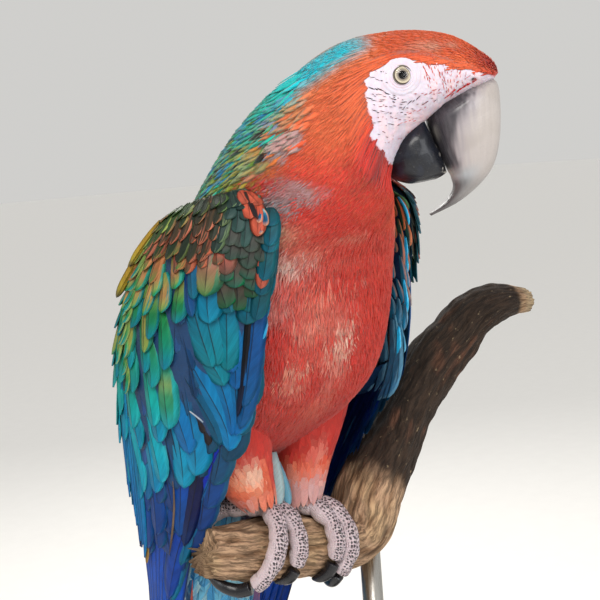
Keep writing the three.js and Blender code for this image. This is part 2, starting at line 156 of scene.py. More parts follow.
class Term:
    # one socket of a shader, used in plain sums

    def __init__(self, finish, socket):
        self.finish = finish
        self.socket = socket

    def math(self, operation, *others):
        return self.finish.node("ShaderNodeMath", {"operation": operation}, [self, *others])

    def __add__(self, other):
        return self.math("ADD", other)

    __radd__ = __add__

    def __mul__(self, other):
        return self.math("MULTIPLY", other)

    __rmul__ = __mul__

    def __sub__(self, other):
        return self.math("SUBTRACT", other)

    def __rsub__(self, other):
        return self.finish.node("ShaderNodeMath", {"operation": "SUBTRACT"}, [other, self])

    def __pow__(self, other):
        return self.math("POWER", other)

    def within(self, low, high, lowTo=0, highTo=1):
        return self.finish.node(
            "ShaderNodeMapRange", {"interpolation_type": "SMOOTHSTEP"},
            {"Value": self, "From Min": low, "From Max": high, "To Min": lowTo, "To Max": highTo})


class Finish:
    # a material and the shader sums that make it

    def __init__(self, name, **shader):
        self.material = bpy.data.materials.new(name)
        self.material.use_nodes = True
        self.tree = self.material.node_tree
        self.shader = self.tree.nodes["Principled BSDF"]
        for socket, value in shader.items():
            self.shader.inputs[socket.replace("_", " ")].default_value = value

    def node(self, kind, settings=None, inputs=None, output=0):
        made = self.tree.nodes.new(kind)
        for key, value in (settings or {}).items():
            if key == "stops":
                while len(made.color_ramp.elements) < len(value):
                    made.color_ramp.elements.new(0.5)
                for element, (position, colour) in zip(made.color_ramp.elements, value):
                    element.position = position
                    element.color = (*tint(colour), 1)
            else:
                setattr(made, key, value)
        pairs = inputs.items() if isinstance(inputs, dict) else enumerate(inputs or [])
        for key, value in pairs:
            self.feed(made.inputs[key], value)
        return Term(self, made.outputs[output])

    def feed(self, socket, value):
        if isinstance(value, Term):
            self.tree.links.new(value.socket, socket)
        elif isinstance(value, str):
            socket.default_value = (*tint(value), 1)
        else:
            socket.default_value = value

    def mix(self, share, a, b, blend="MIX"):
        return self.node("ShaderNodeMix", {"data_type": "RGBA", "blend_type": blend}, {0: share, 6: a, 7: b}, 2)

    def stored(self, name, output="Color"):
        return self.node("ShaderNodeAttribute", {"attribute_name": name}, output=output)

    def split(self, vector):
        made = self.tree.nodes.new("ShaderNodeSeparateXYZ")
        self.tree.links.new(vector.socket, made.inputs[0])
        return [Term(self, made.outputs[i]) for i in range(3)]

    def join(self, x, y, z):
        return self.node("ShaderNodeCombineXYZ", inputs=[x, y, z])

    def where(self):
        return self.node("ShaderNodeTexCoord", output=3)

    def noise(self, vector, scale, detail=3, rough=0.55):
        # the vector may be three sums, for a grain that is longer one way than another
        vector = self.join(*vector) if isinstance(vector, tuple) else vector
        return self.node("ShaderNodeTexNoise", inputs={"Vector": vector, "Scale": scale, "Detail": detail,
                                                       "Roughness": rough})

    def shaded(self, colour, shade):
        return self.mix(1, colour, self.join(shade, shade, shade), "MULTIPLY")

    def bump(self, height, distance, strength=1):
        return self.node("ShaderNodeBump", inputs={"Strength": strength, "Distance": distance, "Height": height})

    def use(self, **sockets):
        for name, value in sockets.items():
            self.feed(self.shader.inputs[name.replace("_", " ")], value)
        return self.material

    def surface(self, colour, rough, *height):
        return self.use(Base_Color=colour, Roughness=rough, Normal=self.bump(*height))


def plumageFinish(name, barb, streak, rough, sheen):
    # barbs run out from the shaft at a slant, and each vane pales or darkens towards its rim
    finish = Finish(name, Roughness=rough, Sheen_Weight=sheen, Sheen_Roughness=0.4, Specular_IOR_Level=0.2,
                    Subsurface_Weight=0.2, Subsurface_Scale=0.004)
    inner, rim = finish.stored("inner"), finish.stored("rim")
    across, along, chance = finish.split(finish.stored("vane", "Vector"))
    wide, down, _ = finish.split(finish.stored("reach", "Vector"))
    side = across.math("ABSOLUTE")
    slant = down + wide.math("ABSOLUTE") * 1.1
    ruffle = finish.noise((wide * 0.35, down * 0.12, chance * 40), 1)
    barbs = finish.noise((slant * barb, wide * 0.25, chance * 70), 1, 2)
    edge = (side ** 3 * 0.3 + along.within(0.55, 1) * 0.7 + (ruffle - 0.5) * 0.5).within(0.45, 1)
    colour = finish.mix(edge, inner, rim)
    shaft = side.within(0.08, 0) * along.within(1, 0.5) * 0.08
    colour = finish.mix(shaft, colour, finish.mix(0.55, colour, "20140f"))
    shade = barbs.within(0.3, 0.72, 1 - streak, 1 + streak * 0.7) * (chance * 0.22 + 0.89)
    colour = finish.shaded(colour, shade)
    return finish.surface(colour, barbs.within(0.3, 0.7, rough - 0.08, rough + 0.1), barbs, 0.00015, 0.35)


def flightFinish(name):
    # the long stiff feathers: close barbs, a raised dark shaft, a thin pale rim that is a painted highlight, a soft
    # gloss
    finish = Finish(name, Roughness=0.5, Specular_IOR_Level=0.18)
    inner, rim = finish.stored("inner"), finish.stored("rim")
    across, along, chance = finish.split(finish.stored("vane", "Vector"))
    wide, down, streaky = finish.split(finish.stored("reach", "Vector"))
    side = across.math("ABSOLUTE")
    slant = down + wide.math("ABSOLUTE") * 1.5
    barbs = finish.noise((slant * 1.6, wide * 0.12, chance * 50), 1, 2)
    broad = finish.noise((slant * 0.16, wide * 0.1, chance * 90), 1)
    ruffle = finish.noise((wide * 0.3, down * 0.1, chance * 33), 1)
    ribbon = finish.noise((across * 3.6 + broad * 0.8, down * 0.035, chance * 61), 1, 2)
    edge = (side ** 2 * 0.9 + along.within(0.86, 1) * 0.35 + (ruffle - 0.5) * 0.5
            + ((ribbon - 0.5) * 4 + across * 0.7) * streaky).within(0.5, 0.95)
    colour = finish.mix(edge, inner, rim)
    # painted highlight: a thin pale cyan line along both edges of each vane
    pale = side.within(0.93, 0.995) * ruffle.within(0.4, 0.6) * 0.28
    colour = finish.mix(pale, colour, finish.mix(0.4, colour, "bfe6ea"))
    shaft = side.within(0.05, 0.02) * along.within(1, 0.8)
    colour = finish.mix(shaft * 0.75, colour, "100f14")
    slit = barbs.within(0.24, 0.2) * side.within(0.35, 0.8) * 0.5
    colour = finish.mix(slit, colour, "0b1420")
    shade = barbs.within(0.3, 0.7, 0.86, 1.08) * broad.within(0.25, 0.75, 0.8, 1.16)
    colour = finish.shaded(colour, shade)
    return finish.surface(colour, barbs.within(0.3, 0.7, 0.38, 0.54), barbs + shaft * 2, 0.0003, 0.4)


def skinFinish():
    finish = Finish("bare_skin", Roughness=0.55, Subsurface_Weight=0.12, Subsurface_Scale=0.004, Specular_IOR_Level=0.4)
    where = finish.where()
    fine = finish.noise(where, 900, 4)
    pores = finish.node("ShaderNodeTexVoronoi", inputs={"Vector": where, "Scale": 1100})
    folds = finish.noise(where, 220, 3)
    colour = finish.mix(folds.within(0.35, 0.7) * 0.3, finish.stored("inner"), "e9c9cf", "MULTIPLY")
    colour = finish.mix(pores.within(0.12, 0) * 0.35, colour, "b98d93", "MULTIPLY")
    height = fine * 0.5 + folds * 1.2 + pores.within(0.3, 0) * -0.4
    return finish.surface(colour, fine.within(0.3, 0.7, 0.45, 0.68), height, 0.0004, 0.6)


def pointValues(mesh, name, values, kind="FLOAT_COLOR"):
    values = np.asarray(values, float).reshape(-1, 3)
    layer = mesh.attributes.new(name, kind, "POINT")
    if kind == "FLOAT_COLOR":
        layer.data.foreach_set("color", np.hstack([values, np.ones((len(values), 1))]).ravel())
    else:
        layer.data.foreach_set("vector", values.ravel())


def makePiece(name, points, faceSets, material, values=None, corners=None, smooth=None):
    # faceSets are arrays of vertex numbers, each with faces of one size; smooth marks the first set's faces
    mesh = bpy.data.meshes.new(name)
    mesh.vertices.add(len(points))
    mesh.vertices.foreach_set("co", np.asarray(points, np.float32).ravel())
    loops = np.concatenate([f.ravel() for f in faceSets]).astype(np.int32)
    sizes = np.concatenate([np.full(len(f), f.shape[1]) for f in faceSets]).astype(np.int32)
    mesh.loops.add(len(loops))
    mesh.loops.foreach_set("vertex_index", loops)
    mesh.polygons.add(len(sizes))
    mesh.polygons.foreach_set("loop_start", np.concatenate([[0], np.cumsum(sizes)[:-1]]).astype(np.int32))
    mesh.update(calc_edges=True)
    soft = np.ones(len(sizes), bool) if smooth is None else np.pad(smooth, (0, len(sizes) - len(smooth)))
    mesh.polygons.foreach_set("use_smooth", soft)
    for key, value in (values or {}).items():
        pointValues(mesh, key, value, "FLOAT_COLOR" if key in ("inner", "rim") else "FLOAT_VECTOR")
    if corners is not None:
        layer = mesh.uv_layers.new(name="OFBake")
        layer.data.foreach_set("uv", np.asarray(corners, np.float32)[loops].ravel())
    mesh.materials.append(material)
    piece = bpy.data.objects.new(name, mesh)
    bpy.context.scene.collection.objects.link(piece)
    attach(piece, "root")
    return piece


def gridFaces(rows, columns, first):
    # quads between rings of points, each ring closed on itself
    ring = np.arange(columns)
    after = (ring + 1) % columns
    start = first + np.arange(rows - 1)[:, None] * columns
    return np.stack([start + ring, start + after, start + columns + after, start + columns + ring], -1).reshape(-1, 4)


def fanFaces(first, columns, middle, turn):
    ring = np.arange(columns)
    faces = np.stack([first + (ring + 1) % columns, first + ring, np.full(columns, middle)], -1)
    return faces[:, ::-1] if turn else faces


def hoops(centre, up, side, angle, radius, flat=1):
    # rings round a path; flat narrows them from side to side
    return (centre[:, None] + up[:, None] * (np.cos(angle) * radius)[..., None]
            + side[:, None] * (np.sin(angle) * radius * flat)[..., None])


class Lofts:
    # bands of rings gathered into one piece, each closed with a fan at its ends (0 the first ring, -1 the last)

    def __init__(self):
        self.points, self.bands, self.fans, self.values, self.count = [], [], [], {}, 0

    def add(self, rings, turn=False, ends=(0, -1), **values):
        rows, columns = rings.shape[:2]
        band = gridFaces(rows, columns, self.count)
        self.bands.append(band[:, ::-1] if turn else band)
        starts = {0: self.count, -1: self.count + (rows - 1) * columns}
        self.count += rows * columns
        for end in ends:
            self.fans.append(fanFaces(starts[end], columns, self.count, turn == (end == 0)))
            self.count += 1
        self.points += [rings.reshape(-1, 3)] + [rings[end].mean(0)[None] for end in ends]
        for key, v in values.items():
            self.values.setdefault(key, []).extend([v.reshape(-1, 3)] + [v[end, :1] for end in ends])

    def piece(self, name, material, put=inPlace):
        values = {key: np.concatenate(parts) for key, parts in self.values.items()}
        return makePiece(name, put(np.concatenate(self.points)), self.bands + self.fans, material, values)


def loftPiece(name, rings, material, put=inPlace, ends=(0, -1), **values):
    lofts = Lofts()
    lofts.add(rings, ends=ends, **values)
    return lofts.piece(name, material, put)


head = {"yaw": math.radians(46), "pivot": 47, "eyeForward": 90, "eyeUp": 242, "eyeSide": 23, "eyeRadius": 8}
bodyRow = smoothRows([  # dorsal forward and up, ventral forward and up, half width, share of the head's turn
    [-84, 4, -62, -10, 12, 0], [-84, 38, -22, 20, 45, 0], [-67, 100, 47, 74, 69, 0], [-33, 163, 67, 144, 68, 0],
    [-8, 205, 80, 166, 55, 0.25], [20, 236, 85, 179, 44, 0.75], [56, 261.5, 84, 191, 36, 1],
    [89, 268, 92, 207, 29.5, 1], [119, 264.5, 110, 222, 26, 1], [139, 252, 133, 233.5, 18.5, 1],
    [147, 243, 145.5, 239, 6, 1]])


def turned(forward, up, share, side=0):
    yaw = head["yaw"] * share
    reach = forward - head["pivot"]
    return xyz(reach * np.sin(yaw) - side * np.cos(yaw), -head["pivot"] - reach * np.cos(yaw) - side * np.sin(yaw), up)


def headPlace(points):
    # forward of the pivot, up, and out to the right, in the turned head's own frame
    x, y = points[..., 0], points[..., 1] + head["pivot"]
    sin, cos = math.sin(head["yaw"]), math.cos(head["yaw"])
    return x * sin - y * cos, points[..., 2], -x * cos - y * sin


def ringAt(row, angle, power=2.2, skew=0):
    # a point of a squared-off ring; the angle is 0 on the back and grows towards the bird's right
    share = row[..., 5] if row.shape[-1] > 5 else np.ones(row.shape[:-1])
    dorsal, ventral = turned(row[..., 0], row[..., 1], share), turned(row[..., 2], row[..., 3], share)
    middle = (dorsal + ventral) / 2
    up = dorsal - middle
    right = -xyz(np.cos(head["yaw"] * share), np.sin(head["yaw"] * share), 0)
    across = squared(np.sin(angle), power) * row[..., 4] * (1 - skew * np.cos(angle))
    return middle + up * squared(np.cos(angle), power)[..., None] + right * across[..., None]


def bodyAt(t, angle):
    return ringAt(bodyRow(t), angle)


def slopes(surface, p, q, stepP, stepQ):
    alongP = (surface(p + stepP, q) - surface(p - stepP, q)) / (2 * stepP)
    alongQ = (surface(p, q + stepQ) - surface(p, q - stepQ)) / (2 * stepQ)
    return alongP, alongQ


def bodyOut(t, angle):
    alongT, alongAngle = slopes(bodyAt, np.clip(t, 0.002, 0.998), angle, 0.002, 0.01)
    return unit(np.cross(alongAngle, alongT))


# the bare face, as an outline in the head's own frame: forward of the pivot, and up
faceOutline = np.array([
    [23.2, 243.6], [29.9, 247.9], [37.7, 251.6], [45, 252.6], [53.1, 252.2], [59.4, 250.2], [67.5, 247.8],
    [72.6, 245.2], [82.7, 242.8], [88, 240.4], [96, 239], [99, 234], [92, 226], [70, 222], [62, 212], [50, 200],
    [40, 195], [34.5, 197.5], [32.9, 201.1], [27.4, 207.9], [23.1, 213.9], [26.5, 218], [24.1, 226.6], [23.2, 232],
    [23.7, 238.1]])


def faceDepth(forward, up):
    # how far inside the bare face's edge, in mm; below 0 outside it
    point = np.stack([forward, up], -1)[..., None, :]
    a, b = faceOutline, np.roll(faceOutline, -1, 0)
    along = b - a
    share = np.clip(((point - a) * along).sum(-1) / (along ** 2).sum(-1), 0, 1)
    distance = norm(point - a - along * share[..., None]).min(-1)
    crosses = ((a[:, 1] > point[..., 1]) != (b[:, 1] > point[..., 1])) & (
        point[..., 0] < (b[:, 0] - a[:, 0]) * (point[..., 1] - a[:, 1]) / (b[:, 1] - a[:, 1] + 1e-12) + a[:, 0])
    return np.where(crosses.sum(-1) % 2 == 1, distance, -distance)


# one lookup from the head's frame back to the skin's own t and angle
lookT, lookAngle = np.meshgrid(np.linspace(0.5, 0.999, 260), np.linspace(0.02, math.pi - 0.02, 260), indexing="ij")
lookPoints = bodyAt(lookT, lookAngle)
lookForward, lookUp, _ = headPlace(lookPoints)


def faceSpot(forward, up, hand=1):
    goal = pair(np.ravel(forward), np.ravel(up))
    gap = (lookForward.ravel() - goal[:, :1]) ** 2 + (lookUp.ravel() - goal[:, 1:]) ** 2
    best = gap.argmin(1)
    t, angle = lookT.ravel()[best], lookAngle.ravel()[best]
    flat = lambda t, angle: pair(*headPlace(bodyAt(t, angle))[:2])
    for _ in range(3):
        here = flat(t, angle)
        dT, dA, miss = flat(t + 1e-3, angle) - here, flat(t, angle + 1e-3) - here, goal - here
        det = dT[:, 0] * dA[:, 1] - dT[:, 1] * dA[:, 0]
        det = np.where(np.abs(det) < 1e-9, 1e-9, det)
        t = t + np.clip((miss[:, 0] * dA[:, 1] - miss[:, 1] * dA[:, 0]) / det * 1e-3, -0.01, 0.01)
        angle = angle + np.clip((dT[:, 0] * miss[:, 1] - dT[:, 1] * miss[:, 0]) / det * 1e-3, -0.05, 0.05)
    return t, angle * hand


def bodyMarks(t, angle, points):
    # the plumage's colour at each place: k counts the body's rows from the tail, away is degrees from the back
    k, away, signed = t * 10, roundOf(angle), np.degrees(angle) % 360
    mottle, patchy = waves(points, 17, 3), waves(points, 38, 8)
    near = lambda *reach: spot(k, away, *reach)
    cheek = ease(k, 4.6, 5.3) * ease(away, 112, 84)
    nape = ease(k, 6.75, 6.35) * ease(away, 58 - 6 * np.abs(k - 5.8), 40 - 8 * np.abs(k - 5.8))
    hind = ease(k, 5.5, 5) * ease(away, 72, 48)
    down = np.maximum(near(4.85, 74, 0.26, 9), near(4.2, 104, 0.5, 17))
    # where painted shade falls under the bill: the lower edge of the cheek and the throat
    billShade = np.maximum(near(5.25, 124, 0.3, 12), near(4.3, 158, 0.5, 14) * ease(mottle, -0.2, 0.5))
    mantle, rump = (ease(away, 96, 76) * ease(k, *edge) for edge in ((4.1, 3.7), (2.7, 2.1)))
    patches = [(3.08, 140, 0.18, 12, "fbe2d2"), (3.36, 153, 0.12, 7, "e88f78"), (3.69, 168, 0.12, 8, "e8947c"),
               (2.59, 164, 0.1, 6, "ea957e"), (2.42, 176, 0.15, 4, "f4d0b8"), (2.52, 155, 0.06, 3, "eab39c"),
               (2.29, 152, 0.09, 4, "e8957e"), (2.12, 152, 0.06, 3, "e8957e"), (1.89, 172, 0.2, 7, "dc6450")]
    return painted(
        "cf2f27", (*k.shape, 3),
        ("d83c30", ease(patchy, -0.1, 0.9) * 0.75),
        # painted shade: a darker red along the underside of the lower belly
        ("b82420", ease(k, 2.6, 1.6) * ease(away, 140, 178) * 0.7),
        ("b8241f", ease(mottle, 0.35, 1) * 0.5),
        # cheek and neck are orange at the ear and redder below; then the crown and the forehead
        ("dc603a", cheek),
        ("e07c42", cheek * ease(away, 66, 40) * 0.75),
        ("cb4c2a", ease(k, 6.2, 7) * ease(away, 80, 60)),
        ("9c2a22", ease(k, 8.3, 9.1) * ease(away, 100, 70)),
        ("b0241e", near(9.6, 60, 0.6, 70) * 0.8),
        ("b9a08c", near(7.9, 55, 0.5, 9) * 0.75 * ease(mottle, -0.6, 0.5)),
        # turquoise from the hind crown down the nape, then green, then olive
        ("c4662c", ease(k, 5.4, 4.6) * ease(away, 92, 60) * 0.85),
        ("0eb0c0", nape),
        ("d0742c", nape * near(6, 4, 0.25, 9) * 0.8),
        ("1d8a63", hind),
        ("2c78b0", hind * ease(mottle, 0.2, 0.7) * 0.8),
        ("22a98f", hind * ease(mottle, -0.3, -0.8) * 0.8),
        ("7d8a2e", ease(k, 4.75, 4.35) * ease(away, 40, 58) * ease(away, 92, 74)),
        # grey down on the side of the neck, with cream bases under it
        ("94898c", ease(down + mottle * 0.22, 0.36, 0.6)),
        ("c3121a", near(4.25, 88, 0.2, 7)),
        ("e8b494", near(3.62, 118, 0.24, 17)),
        # painted shade: dark marks under the bill and on the throat below it
        ("6a2c28", billShade * 0.6),
        ("2a1e22", near(5.4, 121, 0.26, 8) * ease(mottle, -0.5, 0.2) * 0.9),
        # salmon and cream patches over the breast, on one side only
        *[(code, spot(k, signed, *reach)) for *reach, code in patches],
        ("37502c", mantle),
        ("7b3a20", mantle * ease(mottle, 0.1, 0.6) * 0.8),
        ("4d97c4", rump),
        ("2f7fae", rump * ease(mottle, 0.2, 0.8) * 0.6),
        ("7fb2c8", ease(k, 0.75, 0.4) * ease(away, 96, 120) * ease(mottle, -0.5, 0.2)))


def skinMarks(t, angle, points):
    # the same markings, a little darker and browner, as painted shade where the skin shows between the feathers; white
    # skin on the bare face
    forward, up, _ = headPlace(points)
    bare = ease(faceDepth(forward, up), -0.8, 0.6) * (t > 0.5)
    face = painted("c8bfcb", points.shape, ("e2c3c6", ease(waves(points, 9, 5), 0, 0.9) * 0.55),
                   ("d9b9bd", spot(forward, up, 56, 218, 7, 5) * 0.7),
                   ("c9b3b8", spot(forward, up, 84, 236, 7, 3) * 0.6))
    return mix(mix(bodyMarks(t, angle, points) * 0.85, tint("8a5a50"), 0.08), face, bare[..., None])


feet = {
    "right": {
        "middle": -24,
        "thigh": [[-38, 8, 66, 25], [-37, 6, 44, 20.5], [-32, 3, 27, 15], [-27, 1, 16, 11]],
        "toes": {
            "front_outer": [[1, -8, 8], [1, 24, 8.5], [0, 55, 7], [-3, 86, 6], [-8, 118, 5.5], [-11, 134, 5.5]],
            "front_inner": [[5, -4, 7], [11, 26, 7], [14, 55, 5.5], [14, 82, 5], [13, 104, 5]],
            "back_outer": [[-1, 0, 7.5], [-11, -12, 7.5], [-20, -34, 7], [-25, -64, 6], [-25, -94, 5.5]],
            "back_inner": [[2, -6, 7], [5, -36, 6.5], [7, -70, 5.5], [7, -98, 5]]},
        "claws": {
            "front_outer": [[-12, 140, 5], [-17, 158, 4], [-25, 172, 0], [-33, 170, -5]],
            "front_inner": [[13, 110, 4.5], [12, 124, 4], [11, 140, 2], [9, 156, 1.5]],
            "back_outer": [[-25, -100, 5], [-24, -118, 4.5], [-22, -138, 2.5], [-20, -156, 1.5]],
            "back_inner": [[7, -104, 4.5], [8, -122, 4], [8, -142, 2.5], [7, -158, 1.5]]}},
    "left": {
        "middle": 5,
        "thigh": [[30, 7, 66, 25], [25, 6, 44, 20], [18, 3, 25, 14.5], [13, 0, 10, 11]],
        "toes": {
            "front_outer": [[6, -4, 8], [14, 18, 8.5], [20, 50, 7.5], [21, 82, 6.5], [19, 108, 5.5], [18, 120, 5.5]],
            "front_inner": [[0, -2, 8], [6, 20, 8], [11, 48, 6.5], [12, 76, 5.5], [11, 98, 5]],
            "back_outer": [[4, -8, 7.5], [12, -30, 7], [16, -62, 6], [16, -94, 5.5]],
            "back_inner": [[-1, -12, 7], [-3, -40, 6.5], [-4, -72, 5.5], [-4, -98, 5]]},
        "claws": {
            "front_outer": [[18, 126, 5], [18, 142, 5], [19, 158, 3], [20, 172, 1.5]],
            "front_inner": [[11, 104, 4.5], [10, 120, 4.5], [8, 138, 3], [6, 152, 1.5]],
            "back_outer": [[16, -100, 5], [16, -118, 4.5], [15, -138, 2.5], [14, -156, 1.5]],
            "back_inner": [[-4, -104, 4.5], [-4, -122, 4], [-5, -142, 2.5], [-5, -158, 1.5]]}},
}
skin = {"depth": 3.2, "crownDepth": 1.4, "faceDepth": 0.25, "around": 288, "trunkRings": 46, "neckRings": 40,
        "headRings": 150, "lidRings": 30, "lidAround": 96}


def thighAt(side):
    row = smoothRows(feet[side]["thigh"])

    def at(t, angle):
        x, y, z, radius = np.moveaxis(row(1 - t), -1, 0)  # t runs up the leg, against the lie of its feathers
        return xyz(x - squared(np.sin(angle)) * radius, y - 0.025 * radius + squared(np.cos(angle)) * radius * 1.025, z)
    return at


def coatDepth(t, angle, points):
    forward, up, _ = headPlace(points)
    depth = mix(skin["depth"], skin["crownDepth"], ease(t, 0.5, 0.62))
    return mix(depth, skin["faceDepth"], ease(faceDepth(forward, up), -2.2, 0.3) * (t > 0.5))


def eyeMiddle(hand):
    return turned(head["eyeForward"], head["eyeUp"], 1, hand * head["eyeSide"])


def eyeReach(points, hand):
    # distance from the eye's middle as seen from the side of the head
    forward, up, side = headPlace(points)
    near = np.hypot(forward - (head["eyeForward"] - head["pivot"]), up - head["eyeUp"])
    return np.where(side * hand > 0, near, 99)


def faceFolds(points):
    # soft rings round the eye, and creases that run back from the gape
    forward, up, _ = headPlace(points)
    eye = np.minimum(eyeReach(points, 1), eyeReach(points, -1))
    rings = 0.16 * np.sin(eye * 2.3) * ease(eye, 16, 8) * ease(eye, 6, 8)
    angle = np.arctan2(up - 219, forward - 60)
    gape = np.hypot(up - 219, forward - 60)
    creases = 0.2 * np.sin(angle * 22 + waves(points, 14, 2)) * ease(gape, 3, 9) * ease(gape, 34, 16) * ease(eye, 8, 13)
    nostril = -1.3 * np.exp(-((forward - 82.4) / 1.7) ** 2 - ((up - 237.7) / 1.05) ** 2)
    cere = 0.5 * np.exp(-((forward - 84) / 6) ** 2 - ((up - 238.5) / 4) ** 2)
    return rings + creases + nostril + cere + 0.12 * waves(points, 3.1, 9)


def lidRing(hand):
    # a ring of skin from the eyelid's edge out to the flat of the face
    reach = np.linspace(0, 1, skin["lidRings"])
    profile = smoothRows([[4.35, -1.3], [4.42, 0.1], [4.7, 0.75], [5.1, 0.7], [5.5, 0.32], [6, 0.52], [6.6, 0.2],
                          [7.3, 0.36], [8.1, 0.08], [9.4, 0.16], [10.8, -0.5]])(reach)
    turn = circle(skin["lidAround"])
    radius = profile[:, :1] * (1 + 0.03 * np.cos(2 * turn)[None])
    forward = head["eyeForward"] - head["pivot"] + radius * np.cos(turn)
    up = head["eyeUp"] + radius * np.sin(turn)
    t, angle = (v.reshape(radius.shape) for v in faceSpot(forward, up, hand))
    wobble = 1 + 0.25 * np.sin(5 * turn + 1)[None] * ease(radius, 5, 7)
    points = bodyAt(t, angle) + bodyOut(t, angle) * (profile[:, 1:] * wobble - skin["faceDepth"] + 0.15)[..., None]
    return points, painted("c8bfcb", points.shape, ("3a2c2c", ease(radius, 4.9, 4.55)),
                           ("cfb9bd", np.sin(radius * 3.3) * 0.5 * ease(radius, 4.8, 5.4)))


def buildSkin():
    t = np.concatenate([np.linspace(0, 0.415, skin["trunkRings"]), np.linspace(0.42, 0.575, skin["neckRings"]),
                        np.linspace(0.578, 1, skin["headRings"])])
    grid, angle = np.meshgrid(t, circle(skin["around"]), indexing="ij")
    points = bodyAt(grid, angle)
    forward, up, _ = headPlace(points)
    bare = ease(faceDepth(forward, up), -1, 1) * (grid > 0.5)
    eye = np.minimum(eyeReach(points, 1), eyeReach(points, -1))
    height = -coatDepth(grid, angle, points) + bare * faceFolds(points) - 3.4 * ease(eye, 6.6, 4.6) * (grid > 0.5)
    # painted shade: the nostril's opening is painted near black
    colour = painted(skinMarks(grid, angle, points), points.shape,
                     ("241a1a", spot(forward, up, 82.4, 237.7, 1.5, 0.9) * (grid > 0.5)))
    lofts = Lofts()
    lofts.add(points + bodyOut(grid, angle) * height[..., None], inner=colour)
    for side in feet:
        grid, angle = np.meshgrid(np.linspace(0, 1.05, 30), circle(72), indexing="ij")
        at = thighAt(side)
        inward = np.minimum(3, 1.2 + 3 * grid)
        alongT, alongAngle = slopes(at, np.clip(grid, 0.01, 0.99), angle, 0.01, 0.02)
        leg = at(grid, angle) + unit(np.cross(alongT, alongAngle)) * inward[..., None]
        lofts.add(leg, True, inner=painted("c77f6b", leg.shape))
    for hand in (1, -1):
        lid, shade = lidRing(hand)
        lofts.add(lid, hand < 0, (), inner=shade)
    for hand in (1, -1):
        shell, shade = wingShell(hand)
        lofts.add(shell, hand < 0, inner=shade)
    piece = lofts.piece("skin", skinFinish())
    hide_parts("trunk", "neck", "head", "thigh_right", "thigh_left", "wing_right", "wing_left")


wingRows = [  # up, then four (side, back) pairs from the front edge to the rear edge
    [192, 48, -54, 60, -38, 52, -4, 22, 20], [178, 56, -64, 71, -40, 62, 14, 25, 31],
    [158, 60, -65, 79, -32, 68, 30, 27, 40], [133, 63, -59, 84, -18, 72, 46, 29, 55],
    [104, 66, -52, 87, -6, 73, 57, 29, 71], [68, 67, -38, 85, 10, 69, 66, 26, 82],
    [34, 66, -12, 79, 24, 62, 73, 22, 89], [-12, 61, 18, 69, 42, 54, 78, 19, 96],
    [-60, 55, 42, 58, 60, 44, 88, 18, 104], [-118, 47, 64, 49, 78, 39, 100, 18, 113],
    [-200, 36, 88, 37, 98, 33, 114, 20, 126]]
wingLevels = np.array([row[0] for row in wingRows], float)
wingRow = smoothRows(wingRows)
coverTop = smoothLine(180, 190, 190, 186, 178, 168)
coverEnd = smoothLine(78, 50, 64, 42, 28, 18, 24, 44)


def wingAt(hand, across, up, inward):
    level = np.interp(-np.asarray(up, float), -wingLevels, np.arange(len(wingLevels))) / (len(wingLevels) - 1)
    level, across = np.broadcast_arrays(level, np.asarray(across, float))
    row = wingRow(level)
    clear = np.clip(across, 0, 1)

    def at(share):
        # side and back at a share of the way round the row's four places
        spotted = np.clip(share, 0, 1) * 3
        k = np.minimum(spotted.astype(int), 2)
        value = lambda place, c: np.take_along_axis(row, (1 + 2 * np.clip(place, 0, 3) + c)[..., None], -1)[..., 0]
        return [between(*(value(k + i, c) for i in (-1, 0, 1, 2)), spotted - k) for c in (0, 1)]
    side, back = at(clear)
    before, after = at(clear - 0.03), at(clear + 0.03)
    alongSide, alongBack = after[0] - before[0], after[1] - before[1]
    size = np.hypot(alongSide, alongBack) + 1e-9
    alongSide, alongBack = alongSide / size, alongBack / size
    extra = (across - clear) * 140
    side, back = side + alongSide * extra, back + alongBack * extra
    return xyz(-hand * (side - alongBack * inward), back + alongSide * inward, up)


def wingThickness(u, up):
    top, end = coverTop(u) - 3, coverEnd(u) + 6
    v = (top - up) / (top - end)
    fullness = mix(0.8, 1, ease(v, 0, 0.2)) * mix(1, 0.15, ease(v, 0.3, 1))
    return 3.6 + 17 * fullness * np.sin(math.pi * np.clip(u, 0.002, 0.998)) ** 0.6


def wingShell(hand):
    v, u = np.meshgrid(np.linspace(0, 1, 44), np.linspace(0, 1, 48), indexing="ij")
    up = mix(coverTop(u) - 3, coverEnd(u) + 6, v)
    outer = wingAt(hand, 0.03 + 0.94 * u, up, 3.2)
    inner = wingAt(hand, 0.03 + 0.94 * u, up, np.maximum(wingThickness(u, up), 4.2))[:, ::-1]
    points = np.concatenate([outer, inner], 1)
    both = np.concatenate([u, u[:, ::-1]], 1)
    # deep blue in front and dark olive behind: the feathers' own colours, darkened as painted shade for the gaps
    # between them
    return points, painted("06325a", points.shape, ("1e2c14", ease(both, 0.42, 0.62)))


def flatLine(middles, outs):
    # middle lines with the way out and the way across, which is square to both
    outs = np.broadcast_to(outs, middles.shape)
    return middles, outs, unit(np.cross(outs, np.gradient(middles, axis=1)))


def layOn(surface, p, q, length, shares, lean, rise, steps, flip=1):
    # walks each feather down the lie from its root; gives its middle line, the way out, and the way across
    p, q, previous = np.array(p, float), np.array(q, float), 0
    middles, outs = [], []
    for share in shares:
        alongP, alongQ = slopes(surface, p, q, *steps)
        sizeP, sizeQ = norm(alongP) + 1e-6, norm(alongQ) + 1e-6
        step = (share - previous) * length
        p = p - step * np.cos(lean) / sizeP
        q = q + np.clip(step * np.sin(lean) / sizeQ, -0.12, 0.12)
        previous = share
        alongP, alongQ = slopes(surface, p, q, *steps)
        outs.append(unit(np.cross(alongQ, alongP)) * flip)
        middles.append(surface(p, q) + outs[-1] * np.reshape(mix(rise[0], rise[1], share ** 1.1), (-1, 1)))
    return flatLine(np.stack(middles, 1), np.stack(outs, 1))


